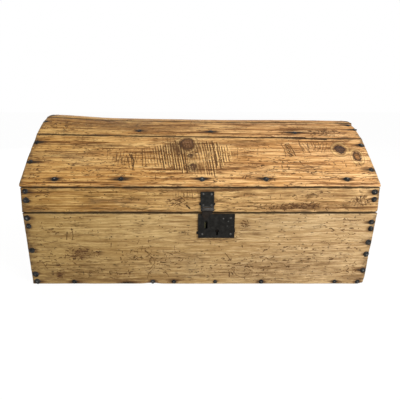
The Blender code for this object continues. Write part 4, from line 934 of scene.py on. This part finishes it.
class Shader:
    """Builds the nodes of a material or world one at a time, with the colour so far as `colour`."""

    def __init__(self, owner):
        owner.use_nodes = True
        self.owner = owner
        self.tree = owner.node_tree
        self.surface = self.tree.nodes.get("Principled BSDF")
        self.colour = None

    def put(self, socket, value):
        """Links a value into an input, or sets its constant."""
        if isinstance(value, Value):
            self.tree.links.new(value.socket, socket)
        elif hasattr(socket.default_value, "__len__") and len(socket.default_value) == 4:
            socket.default_value = (*value, 1.0)
        else:
            socket.default_value = value

    def node(self, kind, settings=None, **inputs):
        made = self.tree.nodes.new("ShaderNode" + kind)
        for key, value in (settings or {}).items():
            setattr(made, key, value)
        for key, value in inputs.items():
            self.put(made.inputs[key], value)
        return made

    def output(self, node, key=0):
        return Value(self, node.outputs[key])

    def attribute(self, name, kind="Fac"):
        return self.output(self.node("Attribute", {"attribute_name": name}), kind)

    def parts(self, vector):
        return [Value(self, part) for part in self.node("SeparateXYZ", Vector=vector).outputs]

    def math(self, operation, *values):
        made = self.node("Math", {"operation": operation})
        for socket, value in zip(made.inputs, values):
            self.put(socket, value)
        return self.output(made)

    def joined(self, operation, first, second):
        """Two vectors added or multiplied."""
        made = self.node("VectorMath", {"operation": operation})
        self.put(made.inputs[0], first)
        self.put(made.inputs[1], second)
        return self.output(made)

    def noise(self, vector, scale, detail=3.0, roughness=0.55, distortion=0.0):
        settings = {"Scale": 1.0, "Detail": detail, "Roughness": roughness, "Distortion": distortion}
        return self.output(self.node("TexNoise", Vector=self.joined("MULTIPLY", vector, scale), **settings), "Fac")

    def step(self, value, low, high):
        """0 below low, 1 above high, smooth between; falls where low is the larger."""
        ends = {"From Min": low, "From Max": high, "To Min": 0.0, "To Max": 1.0}
        if low > high:
            ends = {"From Min": high, "From Max": low, "To Min": 1.0, "To Max": 0.0}
        return self.output(self.node("MapRange", {"interpolation_type": "SMOOTHSTEP"}, Value=value, **ends), "Result")

    def mix(self, share, first, second, blend="MIX"):
        made = self.node("Mix", {"data_type": "RGBA", "blend_type": blend})
        for key, value in (("Factor", share), (6, first), (7, second)):
            self.put(made.inputs[key], value)
        return self.output(made, 2)

    def paint(self, share, colour):
        """Puts a colour over the colour so far, where share is 1."""
        self.colour = self.mix(share, self.colour, colour)

    def mix_shaders(self, share, first, second):
        made = self.node("MixShader")
        for number, value in enumerate((share, first, second)):
            self.put(made.inputs[number], value)
        return self.output(made)

    def dots(self, vector, scale, radius, share):
        """Round specks in some cells of a net: 1 in a speck."""
        net = self.node("TexVoronoi", Vector=self.joined("MULTIPLY", vector, scale), Scale=1.0)
        odds = self.parts(self.output(net, "Color"))
        size = odds[1] * (radius * 0.6) + radius * 0.4
        inside = self.step(self.math("DIVIDE", self.output(net, "Distance"), size), 1.0, 0.60)
        return inside * self.math("LESS_THAN", odds[0], share)

    def contours(self, vector, scale, width):
        """Thin wandering lines, where a noise passes its middle value."""
        level = self.noise(vector, scale, 3, 0.5, 0.2)
        return self.step(self.math("ABSOLUTE", level - 0.5), width, width * 0.35)

    def finish(self, specular, roughness, height, strength, distance):
        """Connects the surface, and returns the material."""
        bump = self.node("Bump", Height=height, Strength=strength, Distance=distance)
        made = {
            "Base Color": self.colour,
            "Specular IOR Level": specular,
            "Roughness": roughness,
            "Normal": self.output(bump, "Normal"),
        }
        for key, value in made.items():
            self.put(self.surface.inputs[key], value)
        return self.owner


# Colours of old pine's marks
SCUFFED, RUBBED = (0.50, 0.38, 0.21), (0.66, 0.47, 0.235)
STAIN, SOAKED, FAINT_STAIN = (0.105, 0.050, 0.020), (0.115, 0.054, 0.022), (0.160, 0.080, 0.030)
PALE_KNOT, RED_KNOT = (0.420, 0.205, 0.072), (0.200, 0.086, 0.030)
BROWN_KNOT, BLACK_KNOT, KNOT_LINE = (0.165, 0.098, 0.070), (0.026, 0.019, 0.016), (0.030, 0.020, 0.016)
KNOT_RING, KNOT_GRAIN, KNOT_HALO = (0.026, 0.018, 0.015), (0.130, 0.062, 0.026), (0.110, 0.050, 0.020)
SAW_LINE, CUT_EDGE, CUT = (0.085, 0.040, 0.018), (0.110, 0.050, 0.020), (0.032, 0.018, 0.010)
RUST_STAIN, RUST_BLACK = (0.120, 0.055, 0.021), (0.022, 0.016, 0.012)
SEAM_DIRT_AND_SHADE, END_DARKENING, SPECK = (0.038, 0.024, 0.012), (0.070, 0.038, 0.018), (0.040, 0.022, 0.013)
# Painted light and shade across the trunk: a tint that darkens its left end and leaves it yellow, and brightens and
# pales its right end, as the light falls from the right
LEFT_PAINTED_SHADE_TINT, RIGHT_PAINTED_LIGHT_TINT = (0.88, 0.875, 0.81), (1.07, 1.10, 1.38)


def pine(name, light, amber, late, dark, streaks):
    """Old waxed pine: yearly rings, fibres, streaks, knots, stains, tool marks, checks, worm holes and dirt, with
    painted light and shade.
    """
    s = Shader(bpy.data.materials.new(name))
    wood = s.attribute("wood", "Vector")
    growth_rings, cuts, knot, heart = (s.attribute(key) for key in ("growth", "cut", "knot", "heart"))
    saw_phase, saw_amount, painted_light_side = s.parts(s.attribute("saw", "Vector"))
    rust, brown, pale = s.parts(s.attribute("stain", "Vector"))
    seam_dirt_and_shade, bare, ends = s.parts(s.attribute("edge", "Vector"))

    fine = s.noise(wood, (44, 420, 420), 4, 0.6)
    fibres = s.noise(wood, (90, 1300, 1300), 2, 0.5)
    bold = s.noise(wood, (5.6 - 2 * streaks, 98, 98), 5, 0.64, 0.5)
    thin = s.noise(wood, (19 - 9 * streaks, 215, 215), 4, 0.66, 0.3)
    broad = s.noise(wood, (2.6, 14, 14), 4, 0.55)
    patch = s.noise(wood, (14, 24, 24), 4, 0.6)
    mottle = s.noise(wood, (42, 75, 75), 5, 0.68)
    grit = s.noise(wood, (150, 260, 260), 3, 0.6)

    # Yearly rings, each of its own darkness
    ring = growth_rings + fine * 0.6
    share = s.math("FRACT", ring)
    odds = s.output(s.node("TexWhiteNoise", {"noise_dimensions": "1D"}, W=s.math("FLOOR", ring)), "Value")
    latewood = s.step(share, 0.35, 0.90) * s.step(share, 1.0, 0.95)
    latewood = latewood * (odds * 0.8 + 0.2) * s.step(mottle, 0.28, 0.56)

    # Grain and streaks
    bright = (min(1.0, light[0] * 1.26), light[1] * 1.30, light[2] * 1.45)
    red = (late[0] * 0.95, late[1] * 0.78, late[2] * 0.62)
    s.colour = s.mix(s.step(broad, 0.38, 0.62), light, amber)
    s.paint(s.step(thin, 0.48, 0.40) * 0.62, bright)
    s.paint(latewood * 0.60, late)
    s.paint(s.step(bold, 0.51, 0.575) * (0.62 * streaks), red)
    s.paint(s.step(thin, 0.51, 0.57) * (0.33 + 0.33 * streaks), late)
    s.paint(s.step(bold + (thin * 0.7 - 0.35), 0.595, 0.645) * (0.90 * streaks), dark)
    s.paint(s.step(fine, 0.52, 0.66) * 0.45, late)
    s.paint(s.step(fibres, 0.45, 0.75) * 0.20, dark)
    cracks = s.math("MAXIMUM", s.contours(wood, (5, 62, 62), 0.018), s.contours(wood, (16, 120, 120), 0.022))
    cracks = cracks * s.step(patch, 0.51 - 0.10 * streaks, 0.62 - 0.10 * streaks)
    s.paint(cracks * (0.55 + 0.30 * streaks), dark)
    # Painted light and shade: darker and yellower to the left, brighter and paler to the right
    s.colour = s.mix(1.0, s.colour, s.mix(painted_light_side, LEFT_PAINTED_SHADE_TINT, RIGHT_PAINTED_LIGHT_TINT), "MULTIPLY")

    # Wear and brown stains
    s.paint(pale * s.step(patch, 0.35, 0.62) * 0.50, SCUFFED)
    s.paint(bare * s.step(mottle, 0.38, 0.58) * 0.55, RUBBED)
    s.paint(brown * s.step(mottle + brown * 0.2, 0.42, 0.66) * 0.85, STAIN)
    s.paint(brown * brown * s.step(thin, 0.36, 0.58) * 0.75, SOAKED)
    s.paint(brown * 0.22, FAINT_STAIN)

    # Knots with a ragged dark ring, and the grain that bends round them
    wobbly = (mottle - 0.5) * 0.6 + ((grit - 0.5) * 0.7 + knot)
    knot_lines = s.step(s.math("FRACT", wobbly * 3.2), 0.35, 0.9)
    dark_core = s.mix(s.step(grit, 0.44, 0.56), BROWN_KNOT, BLACK_KNOT)
    dark_core = s.mix(knot_lines * 0.45, dark_core, KNOT_LINE)
    knot_colour = s.mix(heart, s.mix(knot_lines, PALE_KNOT, RED_KNOT), dark_core)
    knot_colour = s.mix(s.step(wobbly, 0.62, 0.78) * 0.85, knot_colour, KNOT_RING)
    s.paint(s.step(wobbly, 1.14, 0.90), knot_colour)
    s.paint(s.step(wobbly, 1.10, 1.30) * s.step(wobbly, 1.80, 1.50) * 0.35, bright)
    eye = s.step(s.math("FRACT", knot * 2.1 + mottle * 0.8), 0.50, 0.92)
    s.paint(eye * (s.step(knot, 1.0, 1.15) * s.step(knot, 2.6, 1.4)) * 0.60, KNOT_GRAIN)
    s.paint(s.step(wobbly, 2.0, 1.30) * s.step(thin, 0.46, 0.56) * 0.50, KNOT_HALO)

    # Saw lines, then cuts with torn edges and painted highlights beside them
    wander = s.noise(wood, (25, 25, 25), 2, 0.5) * 0.9 + saw_phase
    marks = s.step(s.math("ABSOLUTE", s.math("FRACT", wander) - 0.5), 0.24, 0.08) * saw_amount
    broken = s.node("CombineXYZ", X=s.math("FLOOR", wander), Y=s.parts(wood)[1] * 22.0)
    marks = marks * s.step(s.noise(s.output(broken), (1, 1, 1), 2, 0.6), 0.36, 0.52)
    s.paint(marks * 0.70, SAW_LINE)
    ragged = (s.noise(wood, (420, 620, 620), 3, 0.7) - 0.5) * 1.3 + cuts
    s.paint(s.step(ragged, 0.20, 0.40) * 0.86, CUT_EDGE)
    s.paint(s.step(ragged, 0.56, 0.84) * 0.88, CUT)
    # Painted highlight beside the saw's lines, where a stroke's mark is below 0
    s.paint(s.step(cuts, -0.15, -0.60) * 0.80 * s.step(brown, 0.95, 0.35), bright)

    # Rust round the iron, dirt and painted shade in the joints, and darkening on the ends
    smear = (thin - 0.5) * 0.8 + ((bold - 0.5) * 1.6 + rust)
    s.paint(s.step(smear, 0.14, 0.55) * 0.74, RUST_STAIN)
    s.paint(s.step(smear, 0.52, 0.86) * 0.90, RUST_BLACK)
    # Dirt and painted shade along the joints
    s.paint(s.step((mottle - 0.5) * 1.2 + seam_dirt_and_shade, 0.30, 0.75) * 0.86, SEAM_DIRT_AND_SHADE)
    # Darker towards the trunk's ends
    s.paint(s.step((mottle - 0.5) * 2.2 + ends * 0.62, 0.30, 0.85) * 0.66, END_DARKENING)

    # Specks: round worm holes, ticks along the grain and a few across it
    torn = s.output(s.node("TexNoise", Vector=wood, Scale=700.0, Detail=3.0), "Color")
    uneven = s.joined("ADD", wood, s.joined("MULTIPLY", torn, (0.0030, 0.0022, 0.0022)))
    holes = s.dots(uneven, (120, 150, 50), 0.28, 0.32)
    ticks = s.dots(uneven, (60, 260, 90), 0.34, 0.30)
    upright = s.dots(uneven, (260, 80, 100), 0.32, 0.08)
    specks = s.math("MAXIMUM", holes, s.math("MAXIMUM", ticks, upright)) * s.step(patch, 0.36, 0.48)
    s.paint(specks * 0.85, SPECK)
    s.paint(s.step(mottle, 0.55, 0.72) * 0.30, dark)
    s.paint(s.step(grit, 0.58, 0.78) * 0.25, late)

    height = latewood * 0.35 + fine * 0.5 + fibres * 0.25
    height = s.math("MAXIMUM", marks, specks) * -1.2 + height
    return s.finish(0.09, (latewood + patch) * -0.12 + 0.76, height, 0.6, 0.0010)


# Colours of bare scratches, the painted highlight on the hinge's knuckle, the painted highlight on nail tips, and
# pits
SCRATCHED, KNUCKLE_HIGHLIGHT = (0.16, 0.15, 0.14), (0.105, 0.100, 0.095)
TIP_HIGHLIGHT, PITTED = (0.19, 0.185, 0.170), (0.010, 0.008, 0.007)


def iron(name, dark, worn_colour, rust_colour, rust_low, metallic=0.0, highlight_band=None, tip_highlight=0.0):
    """Forged iron gone black: hammer marks, pits, rust and a few scratches, with painted highlights at some heights
    or on the tips.
    """
    s = Shader(bpy.data.materials.new(name))
    place = s.output(s.node("TexCoord"), "Object")
    hammer = s.noise(place, (110, 110, 110), 3, 0.5)
    cloud = s.noise(place, (45, 45, 45), 5, 0.65, 0.6)
    grain = s.noise(place, (900, 900, 900), 3, 0.6)
    scratch = s.noise(place, (90, 90, 1500), 2, 0.5, 0.3)
    pits = s.dots(place, (520, 520, 520), 0.42, 0.22)
    s.colour = s.mix(s.step(hammer, 0.35, 0.75), dark, worn_colour)
    s.paint(s.step(cloud, rust_low, rust_low + 0.16), rust_colour)
    s.paint(s.step(scratch, 0.70, 0.80) * 0.40, SCRATCHED)
    # Painted highlight in a band of heights, on the hinge's knuckle
    if highlight_band:
        s.paint(s.step(s.parts(place)[2], *highlight_band) * s.step(cloud, 0.36, 0.58) * 0.85, KNUCKLE_HIGHLIGHT)
    # Painted highlight on the nail heads' tips
    if tip_highlight:
        s.paint(s.step(cloud * 2.4 + s.attribute("tip"), 1.70, 2.20) * tip_highlight, TIP_HIGHLIGHT)
    s.paint(pits * 0.6, PITTED)
    s.surface.inputs["Metallic"].default_value = metallic
    return s.finish(0.08, grain * 0.25 + 0.42, hammer + grain * 0.18 - pits * 0.35, 0.7, 0.0008)


# Pine: its light and amber wood, latewood, dark streaks, and how streaked it is
BODY_PINE = pine(
    "worn_body_pine", (0.575, 0.387, 0.155), (0.455, 0.286, 0.103), (0.300, 0.168, 0.056), (0.120, 0.063, 0.023), 0.32
)
RIM_PINE = pine(
    "worn_rim_pine", (0.68, 0.425, 0.150), (0.51, 0.290, 0.088), (0.290, 0.140, 0.038), (0.110, 0.052, 0.016), 0.80
)
LID_PINE = pine(
    "worn_lid_pine", (0.86, 0.515, 0.188), (0.66, 0.345, 0.101), (0.390, 0.180, 0.048), (0.140, 0.055, 0.016), 1.00
)
# Iron: its dark and worn colour, rust, and from which share of its clouds the rust shows
BLACK_IRON = iron("worn_black_iron", (0.0100, 0.0092, 0.0080), (0.020, 0.019, 0.017), (0.040, 0.025, 0.016), 0.66)
NAIL_IRON = iron(
    "worn_nail_iron", (0.0100, 0.0095, 0.0085), (0.050, 0.048, 0.045), (0.034, 0.022, 0.015), 0.66, tip_highlight=0.8
)
GREY_IRON = iron(
    "worn_grey_iron", (0.050, 0.048, 0.045), (0.140, 0.135, 0.125), (0.080, 0.055, 0.038), 0.64, metallic=0.2
)
RUSTY_IRON = iron("worn_rusty_iron", (0.015, 0.011, 0.009), (0.034, 0.024, 0.018), (0.050, 0.030, 0.018), 0.50)
EDGE_IRON = iron("worn_bright_edge", (0.100, 0.095, 0.040), (0.260, 0.250, 0.120), (0.080, 0.055, 0.030), 0.64)
# The leaf has a painted highlight below its knuckle's height, and the tongue above that
LEAF_IRON = iron(
    "worn_leaf_iron", (0.0120, 0.0118, 0.0105), (0.024, 0.023, 0.021), (0.040, 0.025, 0.016), 0.66,
    highlight_band=(0.2250, 0.2190),
)
TONGUE_IRON = iron(
    "worn_tongue_iron", (0.014, 0.011, 0.009), (0.030, 0.024, 0.019), (0.050, 0.032, 0.021), 0.56,
    highlight_band=(0.2115, 0.2135),
)


# The pieces


def wood_of(board):
    """A board's material."""
    if board.endswith("_rim") or board.startswith(("lid_left", "lid_right")):
        return RIM_PINE
    return BODY_PINE if body_of(board) == "carcase" else LID_PINE


TREES = {}
MADE = {board: gridded(board, faces) for board, (*_, faces) in BOARDS.items()}
for board, (bm, samples) in MADE.items():
    others = [place for other in MADE if other != board for place in MADE[other][1]]
    TREES[board] = build_board(board, wood_of(board), bm, samples, others)
for name, board, places, radius, height in NAIL_ROWS:
    build_nails(TREES[board], name, board, places, radius, height, NAIL_IRON)

FINISHES = {"hasp_leaf": LEAF_IRON, "hasp_tongue": TONGUE_IRON, "hasp_pin": GREY_IRON}
FINISHES.update(dict.fromkeys(("key_pin", "bolt_spring", "lock_bolt"), RUSTY_IRON))
FINISHES.update(dict.fromkeys(numbered("lock_plate_nail", 3) + numbered("hasp_nail", 4), GREY_IRON))
for name, node in NODES.items():
    if not node.hide_render:
        node.data.materials.clear()
        node.data.materials.append(FINISHES.get(name, BLACK_IRON))
for name in ("lock_plate", "hasp_leaf", "hasp_tongue"):
    edge = NODES[name].modifiers.new("worn_edge", "BEVEL")
    edge.width = 0.0004
    edge.segments = 2
    edge.limit_method = "ANGLE"


# Iron that only shows close up: broken ends of older fittings, three more rivets and the slot's rubbed edge
PLATE_FRONT = -0.2623
SCRAP_THICK, EDGE_THICK = 0.0014, 0.0003
PLATE_SIDES, PLATE_SUNK = 14, 0.0006
# Piece, body, its left, right, lower and upper edge
SCRAPS = [
    ("plate_scrap_left", "carcase", (-0.0095, -0.0040, 0.1460, 0.1540)),
    ("plate_scrap_right", "carcase", (0.0880, 0.0905, 0.1520, 0.1620)),
    ("leaf_scrap_left", "lid", (-0.0020, 0.0020, 0.2245, 0.2310)),
    ("leaf_scrap_right", "lid", (0.0350, 0.0385, 0.2255, 0.2310)),
]
# Place on the plate, radius
RIVETS = [((0.0724, 0.1818), 0.0021), ((0.0600, 0.1894), 0.0021), ((0.0694, 0.1695), 0.0013)]
RIVET_HEIGHT = 0.0009


def ragged_plate(name, body, box, face, thick, material):
    """A thin torn plate that lies on a front face."""
    left, right, low, high = box
    outline = []
    for number in range(PLATE_SIDES):
        turn = 2 * math.pi * number / PLATE_SIDES
        x, z = math.cos(turn), math.sin(turn)
        square = 1 / max(abs(x), abs(z))
        ragged = 0.80 + 0.30 * chance(number, len(name), 9)
        across, up = x * square * ragged * (right - left) / 2, z * square * ragged * (high - low) / 2
        outline.append(((left + right) / 2 + across, (low + high) / 2 + up))
    bm = bmesh.new()
    back = [bm.verts.new((x, face + PLATE_SUNK, z)) for x, z in outline]
    rim = [bm.verts.new((x, face - thick * 0.7, z)) for x, z in outline]
    middle = Vector(((left + right) / 2, face - thick, (low + high) / 2))
    top = [bm.verts.new(Vector((x, face - thick, z)).lerp(middle, 0.25)) for x, z in outline]
    band(bm, back, rim)
    band(bm, rim, top)
    bm.faces.new(top)
    bm.faces.new(back[::-1])
    new_piece(name, finished(name, bm), body, material)


for name, body, box in SCRAPS:
    ragged_plate(name, body, box, FRONT_Y, SCRAP_THICK, BLACK_IRON)
ragged_plate("slot_rubbed_edge", "carcase", (0.0122, 0.0135, 0.1640, 0.1800), PLATE_FRONT, EDGE_THICK, EDGE_IRON)
bm = bmesh.new()
for number, ((x, z), radius) in enumerate(RIVETS):
    matrix = Matrix.Translation((x, PLATE_FRONT, z)) @ Matrix.Rotation(math.radians(90), 4, "X")
    rose_head(bm, matrix, radius, RIVET_HEIGHT, number + 3)
new_piece("plate_rivets", finished("plate_rivets", bm), "carcase", GREY_IRON)


# Light and floor


def lamp(name, place, target, size, power):
    """A soft square lamp."""
    data = bpy.data.lights.new(name, "AREA")
    data.size = size
    data.energy = power
    made = bpy.data.objects.new(name, data)
    made.location = place
    made.rotation_euler = (Vector(target) - Vector(place)).to_track_quat("-Z", "Y").to_euler()
    bpy.context.scene.collection.objects.link(made)


lamp("key", (1.30, -1.40, 1.25), (0.1, 0, 0.2), 0.9, 34)
lamp("fill", (-1.8, -2.0, 1.4), (0, 0, 0.2), 1.8, 6)
lamp("back", (-0.8, 2.6, 0.9), (0, 0, 0.2), 1.8, 38)


def white_for_camera(s, white, lit, out):
    """Shows one shader to the camera, glass and metal, and another to everything else."""
    path = s.node("LightPath")
    ray, glossy, through = (s.output(path, "Is %s Ray" % kind) for kind in ("Camera", "Glossy", "Transmission"))
    share = s.math("MAXIMUM", s.math("MAXIMUM", ray, glossy), through)
    s.put(out.inputs["Surface"], s.mix_shaders(share, lit, white))


studio = Shader(bpy.data.worlds.new("studio"))
bpy.context.scene.world = studio.owner
light = studio.tree.nodes["Background"]
studio.put(light.inputs["Color"], (1.0, 0.985, 0.96))
studio.put(light.inputs["Strength"], 0.48)
backdrop = studio.node("Background", Color=(1, 1, 1), Strength=1.0)
white_for_camera(studio, studio.output(backdrop), studio.output(light), studio.tree.nodes["World Output"])

# The floor lies this far below the trunk, so that the two never share a plane
FLOOR_DROP, FLOOR_HALF = 0.0004, 15
floor_mesh = bpy.data.meshes.new("floor")
corners = [(x * FLOOR_HALF, y * FLOOR_HALF, 0) for x, y in ((-1, -1), (1, -1), (1, 1), (-1, 1))]
floor_mesh.from_pydata(corners, [], [(0, 1, 2, 3)])
floor = bpy.data.objects.new("floor", floor_mesh)
floor.location.z = -FLOOR_DROP
bpy.context.scene.collection.objects.link(floor)
# The camera sees a floor that mostly glows white, with a faint shadow
GLOW, GLOW_SHARE = 1.06, 0.88
ground = Shader(bpy.data.materials.new("pale_floor"))
ground.put(ground.surface.inputs["Base Color"], (0.80, 0.80, 0.80))
ground.put(ground.surface.inputs["Roughness"], 0.9)
plain = ground.output(ground.surface)
faint = ground.mix_shaders(GLOW_SHARE, plain, ground.output(ground.node("Emission", Strength=GLOW)))
white_for_camera(ground, faint, plain, ground.tree.nodes["Material Output"])
floor_mesh.materials.append(ground.owner)

bpy.context.scene.view_settings.view_transform = "Standard"
